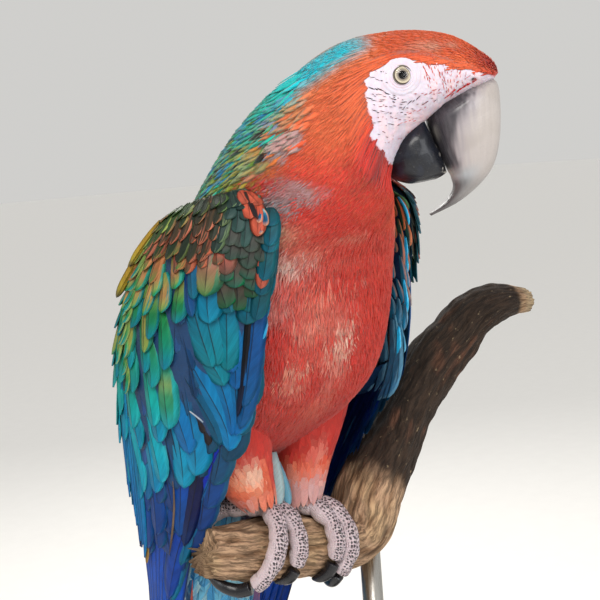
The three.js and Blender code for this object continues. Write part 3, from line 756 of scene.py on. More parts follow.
shapes = {  # shares of the length, widths there, and the section's (across, height) points
    "lock": ([0, 0.34, 0.72, 1], [0.55, 1, 0.72, 0.05], [(-1, 0), (0, 1), (1, 0)]),
    "leaf": ([0, 0.3, 0.6, 0.85, 1], [0.6, 1, 0.9, 0.5, 0.05], [(-1, 0), (0, 1), (1, 0)]),
    "round": ([0, 0.25, 0.5, 0.7, 0.84, 0.94, 1], [0.6, 0.86, 1, 0.98, 0.82, 0.54, 0.1],
              [(-1, 0), (-0.5, 0.75), (0, 1), (0.5, 0.75), (1, 0)]),
    "pointed": ([0, 0.12, 0.27, 0.43, 0.58, 0.72, 0.83, 0.91, 0.965, 1],
                [0.62, 0.78, 0.92, 0.96, 0.86, 0.7, 0.53, 0.37, 0.22, 0.06],
                [(-1, 0), (-0.52, 0.7), (-0.06, 0.9), (0, 1.5), (0.06, 0.9), (0.52, 0.7), (1, 0), (0, -0.6)]),
    "long": ([0, 0.12, 0.27, 0.43, 0.58, 0.72, 0.83, 0.91, 0.965, 1],
             [0.5, 0.72, 0.9, 1, 1, 0.97, 0.86, 0.66, 0.4, 0.08],
             [(-1, 0), (-0.52, 0.7), (-0.06, 0.9), (0, 1.5), (0.06, 0.9), (0.52, 0.7), (1, 0), (0, -0.6)]),
}


def vanes(line, shape, width, thick, droop=0, roll=0):
    shares, widths, section = shapes[shape]
    middles, outs, across = line
    count = len(middles)
    width = np.broadcast_to(width, (count,))[:, None] * np.array(widths)[None]
    sx, sh = np.array(section).T
    half = width[:, :, None] / 2 * sx
    roll = np.broadcast_to(roll, (count,))[:, None, None]
    height = sh * thick - droop * half * half / np.maximum(width.max(1)[:, None, None], 1e-6) + roll * half
    points = middles[:, :, None] + across[:, :, None] * half[..., None] + outs[:, :, None] * height[..., None]
    along = np.broadcast_to(np.array(shares)[None, :, None], half.shape)
    return {"points": points, "half": half, "along": along, "wide": np.broadcast_to(sx, half.shape)}


def coatPiece(name, batches, material, patch=0.003):
    # each batch: vanes, inner and rim colours, root places on the unwrap, lengths
    points, quads, caps, tops, corners, first = [], [], {}, [], [], 0
    values = {"inner": [], "rim": [], "vane": [], "reach": []}
    rng = np.random.default_rng(len(name) * 7 + len(batches))
    for made, inner, rim, root, length in batches:
        count, rows, columns = made["half"].shape
        numbers = np.arange(count * rows * columns).reshape(count, rows, columns) + first
        after = np.roll(numbers, -1, 2)
        quads.append(np.stack([numbers[:, :-1], numbers[:, 1:], after[:, 1:], after[:, :-1]], -1).reshape(-1, 4))
        # only the upper side is shaded smooth, so that a vane's edge does not look rounded
        upper = np.arange(columns) < made["wide"][0, 0].argmax()
        tops.append(np.broadcast_to(upper, (count, rows - 1, columns)).ravel())
        caps.setdefault(columns, []).extend([numbers[:, 0], numbers[:, -1, ::-1]])
        first += numbers.size
        points.append(made["points"].reshape(-1, 3))
        chance = rng.random(count)[:, None, None]
        down = made["along"] * np.broadcast_to(length, (count,))[:, None, None]
        inner, rim = (c if c.ndim == 4 else c[:, None, None] if c.ndim == 2 else c[:, :, None] for c in (inner, rim))
        for key, value in (("inner", inner), ("rim", rim), ("vane", xyz(made["wide"], made["along"], chance)),
                           ("reach", xyz(made["half"], down, made.get("streaky", 0.2)))):
            values[key].append(np.broadcast_to(value, made["points"].shape).reshape(-1, 3))
        spread = pair(made["wide"] / 2, made["along"] - 0.5) * patch
        corners.append((root[:, None, None] + spread).reshape(-1, 2))
    faces = [np.concatenate(quads)] + [np.concatenate(group) for group in caps.values()]
    values = {key: np.concatenate(parts) for key, parts in values.items()}
    piece = makePiece(name, inPlace(np.concatenate(points)), faces, material, values, np.concatenate(corners),
                      np.concatenate(tops))
    return piece


def scatter(surface, area, count, seed, pRange):
    # even places over a surface, thinned by area(p, q, points); also where each lies on its unwrap
    cells = 260, 240
    pEdges, qEdges = np.linspace(*pRange, cells[0] + 1), np.linspace(-math.pi, math.pi, cells[1] + 1)
    p, q = np.meshgrid((pEdges[1:] + pEdges[:-1]) / 2, (qEdges[1:] + qEdges[:-1]) / 2, indexing="ij")
    alongP, alongQ = slopes(surface, p, q, (pEdges[1] - pEdges[0]) / 2, (qEdges[1] - qEdges[0]) / 2)
    weight = norm(np.cross(alongP, alongQ)) * np.clip(area(p, q, surface(p, q)), 0, None)
    rows = np.concatenate([[0], np.cumsum(weight.sum(1))])
    rows /= rows[-1]
    number = np.arange(count) + seed * 0.37
    one, two = (0.5 + number * 0.7548776662) % 1, (0.5 + number * 0.5698402910) % 1
    place = np.interp(one, rows, np.arange(len(rows)))
    row = np.minimum(place.astype(int), cells[0] - 1)
    columns = np.concatenate([np.zeros((cells[0], 1)), np.cumsum(weight, 1)], 1)
    columns /= np.maximum(columns[:, -1:], 1e-12)
    flat = (columns + np.arange(cells[0])[:, None] * 2).ravel()
    spotted = np.searchsorted(flat, two + row * 2) - row * (cells[1] + 1)
    spotted = np.clip(spotted, 1, cells[1])
    low, high = columns[row, spotted - 1], columns[row, spotted]
    inside = (two - low) / np.maximum(high - low, 1e-9)
    q = qEdges[spotted - 1] + np.clip(inside, 0, 1) * (qEdges[1] - qEdges[0])
    p = mix(pRange[0], pRange[1], place / cells[0])
    unwrap = np.stack([0.02 + 0.96 * two, 0.02 + 0.96 * one], -1)
    return p, q, unwrap


plumage = plumageFinish("soft_plumage", 1.7, 0.12, 0.7, 0.12)


def fanned(rng, fan, spread, stray, curve, sizes, shades, slant, size, shade, *others):
    # each feather as that many narrow locks, spread from its root
    beside = np.tile(np.linspace(-1, 1, fan), len(size))
    slant, size, shade, *others = (np.repeat(v, fan, 0) for v in (slant, size, shade, *others))
    slant = slant + spread * beside + rng.normal(0, stray, len(size))
    size = size * (1.04 - curve * beside ** 2) * rng.uniform(*sizes, len(size))
    return beside, slant, size, shade * rng.uniform(*shades, (len(size), 1)), *others


def bodyCoat(area, count, length, width, shape="lock", lean=0, stray=0.12, rise=(-1.5, 0.6), thick=0.3, seed=1,
             pale=0.25, droop=0.15, pRange=(0, 1), recolour=None, rimShift="e08a72", fan=0, spread=0.32):
    rng = np.random.default_rng(seed)
    t, angle, unwrap = scatter(bodyAt, area, count, seed, pRange)
    points = bodyAt(t, angle)
    value = lambda v: v(t, angle, points) if callable(v) else np.full(count, float(v))
    size = value(length) * rng.uniform(0.8, 1.2, count)
    slant = value(lean) + rng.normal(0, stray, count)
    lift = rng.normal(0, 0.09, count)
    low, high, wide = value(rise[0]), value(rise[1]) + lift, value(width)
    tip = np.clip(t - 0.75 * size / norm(slopes(bodyAt, t, angle, 0.002, 0.01)[0]), 0, 1)
    colour = mix(bodyMarks(t, angle, points), bodyMarks(tip, angle, bodyAt(tip, angle)), 0.75)
    shade = rng.uniform(0.93, 1.06, (count, 1))
    if fan:
        _, slant, size, shade, t, angle, unwrap, low, high, wide, colour = fanned(
            rng, fan, spread, 0.05, 0.1, (0.9, 1.08), (0.97, 1.03),
            slant, size, shade, t, angle, unwrap, low, high, wide, colour)
    line = layOn(bodyAt, t, angle, size, shapes[shape][0], slant, (low, high), (0.002, 0.01))
    made = vanes(line, shape, wide * rng.uniform(0.8, 1.2, len(t)), thick, droop, rng.normal(0, 0.04, len(t)))
    colour = (recolour(t, angle, colour, rng) if recolour else colour) * shade
    rim = mix(colour, tint(rimShift), pale * rng.uniform(0.2, 1, (len(t), 1)))
    return made, colour, rim, unwrap, size


def contour(name, area, count, length, width, fan, lockWidth, rise, **look):
    # round feathers, and over them the locks that fringe them
    flat = bodyCoat(area, count, length, width, "leaf", rise=(rise[0], rise[1] - 0.7), thick=0.15, **look)
    locks = bodyCoat(area, count, length, lockWidth, "lock", rise=rise, thick=0.1, fan=fan, **look)
    coatPiece("coat_" + name + "_under", [flat], plumage)
    coatPiece("coat_" + name, [locks], plumage)


def outsideFace(t, points):
    forward, up, _ = headPlace(points)
    near = faceDepth(forward, up) + 1.3 * waves(points, 4.5, 7)
    return np.where(t > 0.5, ease(near, 1.1, -1.5), 1)


def zone(along, around, face=False):
    # where feathers of one kind grow: soft edges along the body, in rows from the tail, and round it, in degrees
    def area(t, angle, points):
        share = outsideFace(t, points) if face else 1
        for place, edges in ((t * 10, along), (roundOf(angle), around)):
            for low, high in edges:
                share = share * ease(place, low, high)
        return share
    return area


def headCoat():
    # beside the bare face the roots rise to the skin, so that the first feathers fringe its edge
    nearFace = lambda t, a, p: ease(faceDepth(*headPlace(p)[:2]), -4, -0.5) * (t > 0.5)
    forwards = lambda t: ease(t, 0.66, 0.95)
    crown = bodyCoat(zone([(5.6, 6), (10, 9.85)], [(108, 96)], True), 7000, lambda t, a, p: mix(10.5, 4.8, forwards(t)),
                     lambda t, a, p: mix(2.3, 1.35, forwards(t)), seed=11, pale=0.4, stray=0.07, thick=0.08,
                     rise=(lambda t, a, p: mix(-1, -0.1, nearFace(t, a, p)),
                           lambda t, a, p: mix(-0.5, 0.05, ease(t, 0.8, 0.95)) + 0.35 * nearFace(t, a, p)),
                     pRange=(0.55, 1), rimShift="e0813f")
    coatPiece("coat_crown", [crown], plumage)
    cheekArea = zone([(4.5, 4.9), (6.9, 6.5)], [(38, 50), (176, 168)], True)
    look = {"lean": lambda t, a, p: 0.28 * np.sign(np.sin(a)) * ease(roundOf(a), 60, 110), "pRange": (0.44, 0.72),
            "rimShift": "f0a070"}
    cheek = bodyCoat(cheekArea, 7800, 19, 1.7, seed=12, pale=0.4, stray=0.07, thick=0.08,
                     rise=(lambda t, a, p: mix(-1.1, -0.1, nearFace(t, a, p)),
                           lambda t, a, p: 0.35 * nearFace(t, a, p)), **look)
    under = bodyCoat(cheekArea, 1100, 17, 10, "leaf", seed=13, rise=(-1.3, -0.6), pale=0.3, thick=0.1, **look)
    coatPiece("coat_cheek", [cheek], plumage)
    coatPiece("coat_cheek_under", [under], plumage)
    print("head's coat laid")


def napeColour(t, a, colour, rng):
    # single feathers of other colours among the green
    green = (ease(t * 10, 5.6, 5.1) * ease(roundOf(a), 80, 60))[:, None] > 0.5
    pick = rng.random((len(t), 1))
    for low, high, code in ((-1, 0.16, "1f6f9e"), (0.84, 2, "22a088"), (0.62, 0.74, "5c7a2c"), (0.45, 0.55, "241f1c")):
        colour = np.where((pick > low) & (pick < high) & green, tint(code), colour)
    return colour


def trunkCoat():
    neckArea = zone([(3.45, 3.7), (5.2, 4.8)], [(62, 80)], True)
    contour("neck", neckArea, 900, 21, 12, 8, 2.2, (-2.4, 0), seed=21, pale=0.3, stray=0.16, pRange=(0.33, 0.54))
    napeArea = zone([(3.6, 3.9), (6, 5.5)], [(84, 68)])
    nape = bodyCoat(napeArea, 1300, 29, 6.6, "leaf", seed=23, rise=(-2.6, 1), droop=0.5, pRange=(0.34, 0.62),
                    recolour=napeColour, rimShift="8fd8c0", pale=0.45)
    napeUnder = bodyCoat(napeArea, 1500, 22, 8, "leaf", seed=24, rise=(-3.6, -1), pRange=(0.34, 0.62))
    coatPiece("coat_nape", [napeUnder, nape], plumage)
    breastArea = zone([(1.95, 2.1), (4.3, 3.7)], [(80, 96)])
    contour("breast", breastArea, 690, 25, 16.5, 14, 2.3, (-2.6, 0), seed=25, pale=0.13, stray=0.1,
            pRange=(0.17, 0.42), spread=0.34)
    bellyArea = zone([(2.2, 2.05), (0.04, 0.2)], [(80, 96)])
    contour("belly", bellyArea, 640, 27, 17, 14, 2.5, (-2.6, 0), seed=27, pale=0.13, pRange=(0, 0.24),
            spread=0.34)
    backArea = zone([(4, 3.7), (0.04, 0.2)], [(100, 88)])
    back = bodyCoat(backArea, 2100, 21, 11.8, "round", seed=29, rise=(-3.2, 0.2), thick=0.4, stray=0.07,
                    pRange=(0, 0.42), pale=0.4, rimShift="7fae8c", droop=0.4)
    coatPiece("coat_back", [back], plumage)
    print("trunk's coat laid")


thighLook = {"count": 460, "right": {"red": 0.5, "cream": 0.8, "fluff": 0.24},
             "left": {"red": 0.32, "cream": 0.25, "fluff": 0.42}}


def thighMarks(side, t, angle, points, rng):
    look = thighLook[side]
    inner = np.degrees(angle) % 360 if side == "right" else 0
    fluff = ease(t + 0.06 * waves(points, 6, 6), look["fluff"], look["fluff"] - 0.34)
    return painted("d65e40", points.shape, ("e59472", ease(waves(points, 22, 4), -0.2, 0.7) * 0.6),
                   ("bc3028", ease(t, look["red"], look["red"] + 0.2)),
                   ("c8372c", ease(inner, 186, 208) * ease(inner, 340, 300) * ease(t, 0.12, 0.3)),
                   ("e0b49c", spot(t, np.degrees(angle), 0.5, 170, 0.14, 24) * look["cream"]),
                   ("b9a9ac", fluff * rng.uniform(0.35, 0.7, len(t))))


def feathersBetweenLegs():
    # two pale feathers that hang there
    root, tip = np.array([[[-12, -3, 37]], [[-8, -2, 30]]]), np.array([[[-13.5, -7, 6]], [[-6.5, -8, 4]]])
    middles = mix(root, tip, np.array(shapes["round"][0])[None, :, None])
    made = vanes(flatLine(middles, unit(np.array([-0.72, -0.68, 0.12]))), "round", np.array([10, 8]), 0.3, 0.5)
    colour = np.array([tint("93a9ac"), tint("5f93a6")])
    return made, colour, colour * 1.15, np.array([[0.7, 0.3], [0.72, 0.26]]), np.array([31, 27])


def thighCoat():
    for number, side in enumerate(feet):
        at = thighAt(side)
        batches = []
        for shape, fan in (("leaf", 0), ("lock", 7)):
            rng = np.random.default_rng(40 + number)
            count = thighLook["count"]
            t, angle, unwrap = scatter(at, lambda p, q, r: ease(p, -0.02, 0.05), count, 5 + number, (0.02, 1))
            size = mix(11, 19, t) * rng.uniform(0.85, 1.15, count)
            slant = rng.normal(0, 0.12, count)
            shade = rng.uniform(0.94, 1.06, (count, 1))
            if fan:
                beside, slant, size, shade, t, angle, unwrap = fanned(
                    rng, fan, 0.36, 0.08, 0.12, (0.82, 1.12), (0.95, 1.05), slant, size, shade, t, angle, unwrap)
            rise = (-1.6, 0.3) if fan else (-2.8, -2.2)
            line = layOn(at, t, angle, size, shapes[shape][0], slant, rise, (0.01, 0.02), -1)
            wide = mix(1.8, 2.7, t) if fan else mix(4, 7, t)
            made = vanes(line, shape, wide * rng.uniform(0.8, 1.2, len(t)), 0.1 if fan else 0.25, 0.1)
            if fan:  # each lock takes the colour of a place a little beside its own
                t = t - 0.35 * size / 90 * rng.random(len(t)) + rng.normal(0, 0.02, len(t))
                angle = angle + 0.16 * beside * rng.random(len(t)) + rng.normal(0, 0.05, len(t))
            colour = thighMarks(side, t, angle, at(np.clip(t, 0, 1), angle), rng) * shade
            rim = mix(colour, tint("f3c4a8"), 0.35 * rng.random((len(t), 1)))
            batches.append((made, colour, rim, unwrap, size))
        if side == "right":
            batches.append(feathersBetweenLegs())
        coatPiece("coat_thigh_" + side, batches, plumage)
    print("thighs' coat laid")


buildSkin()
print("skin built")
headCoat()
trunkCoat()
thighCoat()


faceLines = [  # from and to (forward, up), how many, length, width, colour
    [(53.5, 250), (58.5, 239), 8, 3, 0.5, "d8503a"], [(57.5, 250.5), (61.5, 236.5), 8, 2.6, 0.45, "d9604c"],
    [(62, 249), (65, 235), 8, 2.4, 0.42, "cf5a50"], [(67, 247), (68.5, 234.5), 7, 2.2, 0.42, "c74a44"],
    [(72.5, 243.5), (72, 235), 6, 2, 0.4, "c8504a"], [(77.5, 242), (76, 236), 4, 1.8, 0.4, "c0453f"],
    [(84.5, 238.2), (69, 231), 22, 3, 0.8, "b81c1a"], [(83, 241), (74, 237.5), 6, 1.8, 0.4, "b8403c"],
    [(66, 231.5), (50.5, 232.5), 9, 2.2, 0.42, "a33c3e"], [(29, 241.4), (38.5, 237.6), 5, 3.2, 0.42, "2c2430"],
    [(28, 236.6), (39.5, 231.6), 6, 3.6, 0.5, "1d1a22"], [(26.8, 231), (46, 227.6), 8, 3.8, 0.5, "231d26"],
    [(46, 227.6), (54, 232.6), 5, 3, 0.5, "2c2229"], [(52, 226.8), (62, 229.5), 5, 2.8, 0.6, "5a2a2c"],
    [(28, 224.6), (45, 222.6), 8, 3.2, 0.42, "4a3a42"], [(45, 222.6), (56, 225), 5, 2.8, 0.45, "b24540"],
    [(29, 219), (41, 217), 6, 3.4, 0.42, "3a3038"], [(41, 217.6), (52, 219.6), 6, 2.8, 0.45, "cc5a50"],
    [(30, 213.5), (37, 212), 4, 2.8, 0.4, "6a5058"], [(58, 246), (59, 243), 3, 3.2, 0.6, "d4482e"],
    [(31, 245), (36, 243), 4, 2.6, 0.4, "3a3038"], [(27.5, 233.6), (43, 229.6), 10, 2.8, 0.42, "2c2430"],
    [(29, 228), (50, 224.6), 11, 2.6, 0.4, "4a343c"], [(30, 221.6), (47, 220), 9, 2.6, 0.4, "7a4248"],
    [(33, 209), (45, 211), 6, 2.4, 0.38, "a85a58"], [(47, 214), (55, 216.5), 5, 2.4, 0.4, "c0605c"],
    [(56, 243), (57.5, 236), 6, 2.6, 0.5, "c0483e"], [(60, 250), (63.5, 240), 7, 2.6, 0.45, "c8503c"],
    [(65, 247), (67, 233), 8, 2.2, 0.42, "b8504c"], [(56, 232), (64, 235), 5, 2.2, 0.4, "a84848"],
    [(75, 244), (73, 237), 5, 2, 0.4, "c84a40"], [(70, 248), (70, 239), 6, 2, 0.42, "c85a4c"]]


def buildFaceLines():
    rng = np.random.default_rng(5)
    batches = []
    for hand in (1, -1):
        starts, colours, lengths, widths, ways = [], [], [], [], []
        for begin, end, count, length, width, code in faceLines:
            share = (np.arange(count) + rng.uniform(-0.3, 0.3, count)) / max(count - 1, 1)
            way = unit(np.array(end, float) - np.array(begin, float))
            way = -way if way[0] > 0.25 else way  # they lie along their row, pointing back or down
            starts.append(mix(np.array(begin), np.array(end), share[:, None]) + rng.normal(0, 0.45, (count, 2)))
            ways.append(way + rng.normal(0, 0.12, (count, 2)))
            colours += [tint(code)] * count
            lengths += list(length * rng.uniform(0.5, 1.3, count))
            widths += list(width * rng.uniform(0.6, 1.4, count))
        start, colour, lengths = np.concatenate(starts), np.array(colours), np.array(lengths)
        t, angle = faceSpot(start[:, 0], start[:, 1], hand)
        ahead = start + np.concatenate(ways)
        nextT, nextAngle = faceSpot(ahead[:, 0], ahead[:, 1], hand)
        alongT, alongAngle = slopes(bodyAt, t, angle, 0.002, 0.01)
        lean = np.arctan2((nextAngle - angle) * norm(alongAngle),
                          (t - nextT) * norm(alongT))
        line = layOn(bodyAt, t, angle, lengths, shapes["lock"][0], lean, (-0.35, 0.3), (0.002, 0.01))
        unwrap = pair(0.5 + hand * 0.25 + (start[:, 0] - 55) / 160, (start[:, 1] - 200) / 60)
        batches.append((vanes(line, "lock", np.array(widths), 0.22), colour, colour * 1.15, np.clip(unwrap, 0.02, 0.98),
                        lengths))
    coatPiece("face_lines", batches, plumage)
    print("face lines laid")


upperBillRow = smoothRows([  # dorsal forward and up, ventral forward and up, half width
    [137, 241, 106, 222, 13], [145, 237, 106.5, 216, 18.5], [146.5, 225, 109, 208.5, 18],
    [145.5, 209, 113, 198, 16], [142, 194.5, 117, 189, 12.5], [134.5, 184, 118.5, 182, 8.5],
    [121, 174, 113.5, 174.5, 4.5], [105.5, 167.5, 104.5, 168.5, 0.8]])
lowerBillRow = smoothRows([
    [103, 222, 97, 219, 8], [107, 212.5, 86, 209, 17], [110, 205.5, 80.5, 199, 18.5],
    [112.3, 200, 83, 191, 17.5], [113.8, 195, 94, 186, 14.5], [114.8, 191, 108, 187, 9]])
bill = {"upperRings": 150, "lowerRings": 90, "around": 132}


def hornFinish(name, rough, scratch):
    finish = Finish(name, Roughness=rough, Coat_Weight=0.2, Coat_Roughness=0.12, Specular_IOR_Level=0.35)
    along, around, worn = finish.split(finish.stored("reach", "Vector"))
    layers = finish.noise((along * 0.06, around * 2.2, 0), 1, 4)  # fine lines down the horn
    cross = finish.noise((along * 0.9, around * 0.12, 3), 1, 3)  # faint growth steps across it
    where = finish.where()
    flecks = finish.noise(where, 420, 4, 0.7)
    nicks = finish.noise((along * 0.5, around * 0.5, 9), 1, 5, 0.7).within(0.63, 0.72)
    colour = finish.mix(layers.within(0.35, 0.65) * 0.34, finish.stored("inner"), finish.stored("rim"))
    colour = finish.mix(nicks * scratch, colour, "b9b2ab")
    colour = finish.mix(flecks.within(0.6, 0.75) * scratch * 0.4, colour, "8f8a86")
    colour = finish.mix(worn, colour, "d6d0c4")
    height = layers * 0.6 + cross * 0.9 + flecks * 0.25 - nicks * 0.8
    return finish.surface(colour, layers * 0.16 + flecks * 0.12 + nicks * 0.25 + (rough - 0.12), height, 0.00035, 0.55)


def billRings(row, rings, power, skew):
    # the rings, places down and round them for the horn's grain, degrees from the ridge, and the way out
    t, angle = np.meshgrid(np.linspace(0, 1, rings), circle(bill["around"]), indexing="ij")
    points = ringAt(row(t), angle, power, skew)
    reach = xyz(t * 90, np.sin(angle) * 16 + (1 - np.cos(angle)) * 8, 0)
    return t, angle, points, reach, roundOf(angle), unit(points - points.mean(1, keepdims=True))


def buildBill():
    t, angle, points, reach, away, out = billRings(upperBillRow, bill["upperRings"], 2.1, 0.18)
    soft = waves(points, 16, 21)
    streak = waves(points * np.array([1, 1, 0.12]), 3.2, 22)
    edge = mix(74, 128, ease(t, 0.05, 0.42)) + streak * 7
    dark = ease(away, edge - 14, edge + 22) * ease(t, 0.6, 0.48)
    colour = painted(
        "a8a09c", points.shape,
        ("989089", ease(soft, -0.2, 0.9) * 0.6),
        ("b2aaa4", spot(t, away, 0.36, 40, 0.22, 34) * 0.7),
        ("8f888e", ease(away, edge - 34, edge + 2) * ease(t, 0.62, 0.48) * 0.75),
        ("26242a", dark * 0.96),
        ("8f979c", ease(t, 0.5, 0.6) * ease(away, 60, 120) * 0.75),
        ("7c7876", ease(t, 0.6, 0.76) * 0.85),
        ("3e3a3a", ease(t, 0.76, 0.92) * 0.9),
        ("1d1b1c", ease(away, 80, 130) * ease(t, 0.58, 0.7) * 0.6),
        ("3a3435", spot(t, away, 0.51, 8, 0.035, 12) * ease(np.sin(angle), -0.1, 0.1)))
    flakes = spot(t, away, 0.2, 160, 0.12, 10) * 0.25 * ease(soft, 0, 1)
    reach[..., 2] = spot(t, away, 0.56, 168, 0.05, 14) * 0.5 + flakes
    # the notch, and a rounded ridge down the side
    swell = 0.35 * np.sin(t * 9) * ease(away, 40, 90) * ease(away, 150, 110) - 0.5 * spot(t, away, 0.58, 150, 0.03, 30)
    rim = mix(colour, tint("8f8a90"), 0.4)
    piece = loftPiece("bill_upper_horn", points + out * (swell + 0.08 * streak)[..., None],
                      hornFinish("horn_pale", 0.34, 0.12), inner=colour, rim=rim, reach=reach)
    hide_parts("bill_upper")
    t, angle, points, reach, away, out = billRings(lowerBillRow, bill["lowerRings"], 2.2, -0.15)
    colour = painted("0b0d14", points.shape, ("181d2a", ease(waves(points, 12, 23), 0, 1)),
                     ("0e0e12", ease(t, 0.5, 1) * 0.6))
    reach[..., 2] = np.clip(spot(t, away, 0.9, 44, 0.12, 13) * ease(waves(points, 4, 24), 0.1, 0.5)
                            + spot(t, away, 0.6, 20, 0.3, 8) * 0.5 * ease(waves(points, 5, 25), 0.2, 0.8), 0, 0.8)
    rim = mix(colour, tint("2a3242"), 0.4)
    piece = loftPiece("bill_lower_horn", points + out * (0.15 * waves(points, 9, 26))[..., None],
                      hornFinish("horn_black", 0.3, 0.3), inner=colour, rim=rim, reach=reach)
    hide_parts("bill_lower")
    print("bill built")


eyeLook = {"around": 96, "front": [  # radius and height, from the iris's rim in to the back of the pupil
    (4.3, 6.62), (4.1, 6.5), (3.6, 6.32), (3.1, 6.2), (2.6, 6.12), (2.2, 6.08), (1.95, 6.05), (1.85, 5.9), (1.8, 4.4),
    (1, 3.6), (0.05, 3.4)]}


def eyeFinish():
    finish = Finish("iris", Roughness=0.4, Specular_IOR_Level=0.15)
    where = finish.where()
    threads = finish.noise(finish.stored("reach", "Vector"), 1, 4)
    colour = finish.mix(threads.within(0.3, 0.75) * 0.45, finish.stored("inner"), finish.stored("rim"))
    return finish.surface(colour, finish.noise(where, 300).within(0.3, 0.7, 0.18, 0.3), threads, 0.0001, 0.4)


def buildEyes():
    iris = eyeFinish()
    clear = Finish("cornea", Base_Color=(1, 1, 1, 1), Metallic=1, Roughness=0.02, Alpha=0.022)
    clear.use(Roughness=clear.noise(clear.where(), 500).within(0.3, 0.7, 0.015, 0.035))
    radius, turn = head["eyeRadius"], circle(eyeLook["around"])
    arc = lambda begin, end, count: [(radius * math.sin(a), radius * math.cos(a))
                                     for a in np.linspace(begin, end, count)]
    for side, hand in (("right", 1), ("left", -1)):
        t, angle = faceSpot(head["eyeForward"] - head["pivot"], head["eyeUp"], hand)
        outwards = [turned(head["eyeForward"], head["eyeUp"], 1, reach) for reach in (hand * 50, 0)]
        axis = unit(bodyOut(t, angle)[0] * 0.7 + 0.3 * (outwards[0] - outwards[1]) / 50)
        level = unit(np.cross(axis, [0, 0, 1]))
        upright = np.cross(level, axis)
        middle = eyeMiddle(hand)

        def spun(rows, grow=0):
            r, h = rows[:, :1], rows[:, 1:]
            return (middle + axis * (h + grow)[..., None] + level * (r * np.cos(turn))[..., None]
                    + upright * (r * np.sin(turn))[..., None])
        # from the back of the ball round to the iris, which lies flat and deep behind the clear dome
        rows = np.array(arc(math.pi * 0.98, math.asin(4.5 / 8), 26) + eyeLook["front"])
        points = spun(rows)
        r = np.broadcast_to(rows[:, :1], points.shape[:2])
        isFront = np.broadcast_to((rows[:, 1:] > 3) & (rows[:, :1] < 4.6), points.shape[:2])
        colour = painted("d9cfc0", points.shape, ("c2b8a0", isFront * 1), ("8f8474", isFront * ease(r, 3.8, 3)),
                         ("5a5450", isFront * ease(r, 2.9, 2.2)), ("020203", isFront * ease(r, 2.1, 1.9)),
                         ("6a5748", isFront * ease(r, 4.05, 4.3)), ("1c1716", ease(r, 4.32, 4.5) * ease(r, 5.4, 4.9)))
        piece = loftPiece("eyeball_" + side, points, iris, inner=colour, rim=colour * 0.62,
                          reach=xyz(np.cos(turn) * 9, np.sin(turn) * 9, r * 0.5))
        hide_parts("eye_" + side)
        dome = spun(np.array(arc(math.asin(4.42 / 8), 0.01, 14)), 0.04)
        loftPiece("cornea_" + side, dome, clear.material, ends=(-1,))
    print("eyes built")


flightLook = flightFinish("stiff_plumage")


def bladeLine(hand, begin, end, depth, bow=0, inside=False):
    # begin and end are (across, up) of each feather; depth runs inward from root to tip. Feathers that are inside
    # lie on the wing's inner side, which faces the body
    shares = np.array(shapes["long"][0])
    across = mix(begin[:, :1], end[:, :1], shares) + np.reshape(bow, (-1, 1)) * np.sin(math.pi * shares)
    up = mix(begin[:, 1:], end[:, 1:], shares)
    inward = mix(depth[:, :1], depth[:, 1:], shares ** 1.3)
    if inside:
        inward = wingThickness(across, up) - inward + 3.6 * ease(up, 118, 96)
    middles = wingAt(hand, across, up, inward)
    alongUp = wingAt(hand, across, up + 1.5, inward) - wingAt(hand, across, up - 1.5, inward)
    alongAcross = wingAt(hand, across + 0.02, up, inward) - wingAt(hand, across - 0.02, up, inward)
    outs = unit(np.cross(alongUp, alongAcross)) * (-hand if inside else hand)
    return flatLine(middles, outs), norm(np.diff(middles, axis=1)).sum(1)


def wingUnwrap(points):
    # across and down the folded wing's own surface
    return np.clip(pair(0.06 + 0.86 * points[:, 0], (205 - points[:, 1]) / 420), 0.01, 0.99)


def wingBatch(hand, rng, begin, end, width, inner, rim, depth, thick, droop, roll, streaky, vary, bow=0,
              inside=False):
    top = coverTop(begin[:, 0]) - 1
    begin, end = pair(begin[:, 0], np.minimum(begin[:, 1], top)), np.array(end, float)
    for places in (begin, end):  # no vane stands out past the wing's front edge, down to the long coverts
        places[:, 0] = np.maximum(places[:, 0], width / 310 * ease(places[:, 1], 84, 108))
    count = len(begin)
    depth = np.broadcast_to(np.asarray(depth, float), (count, 2))
    line, length = bladeLine(hand, begin, end, depth, bow, inside)
    made = vanes(line, "long", width * rng.uniform(0.94, 1.06, count), thick, droop, roll + rng.normal(0, 0.025, count))
    made["streaky"] = streaky
    shade = rng.uniform(1 - vary, 1 + vary, (count, 1))
    shade = shade if np.ndim(inner) < 3 else shade[:, None]
    return made, inner * shade, rim * shade, wingUnwrap(begin), length


def ramped(stops):
    # a colour that changes down the feather, at its shape's own steps
    shares = np.array(shapes["long"][0])
    colours = np.array([tint(code) for _, code in stops])
    return np.stack([np.interp(shares, [at for at, _ in stops], colours[:, c]) for c in range(3)], -1)


scaleRows = {"first": 188, "last": 158, "rows": 5, "length": (18, 29), "width": (9, 12.5), "spacing": 0.66, "rear": 0.3}


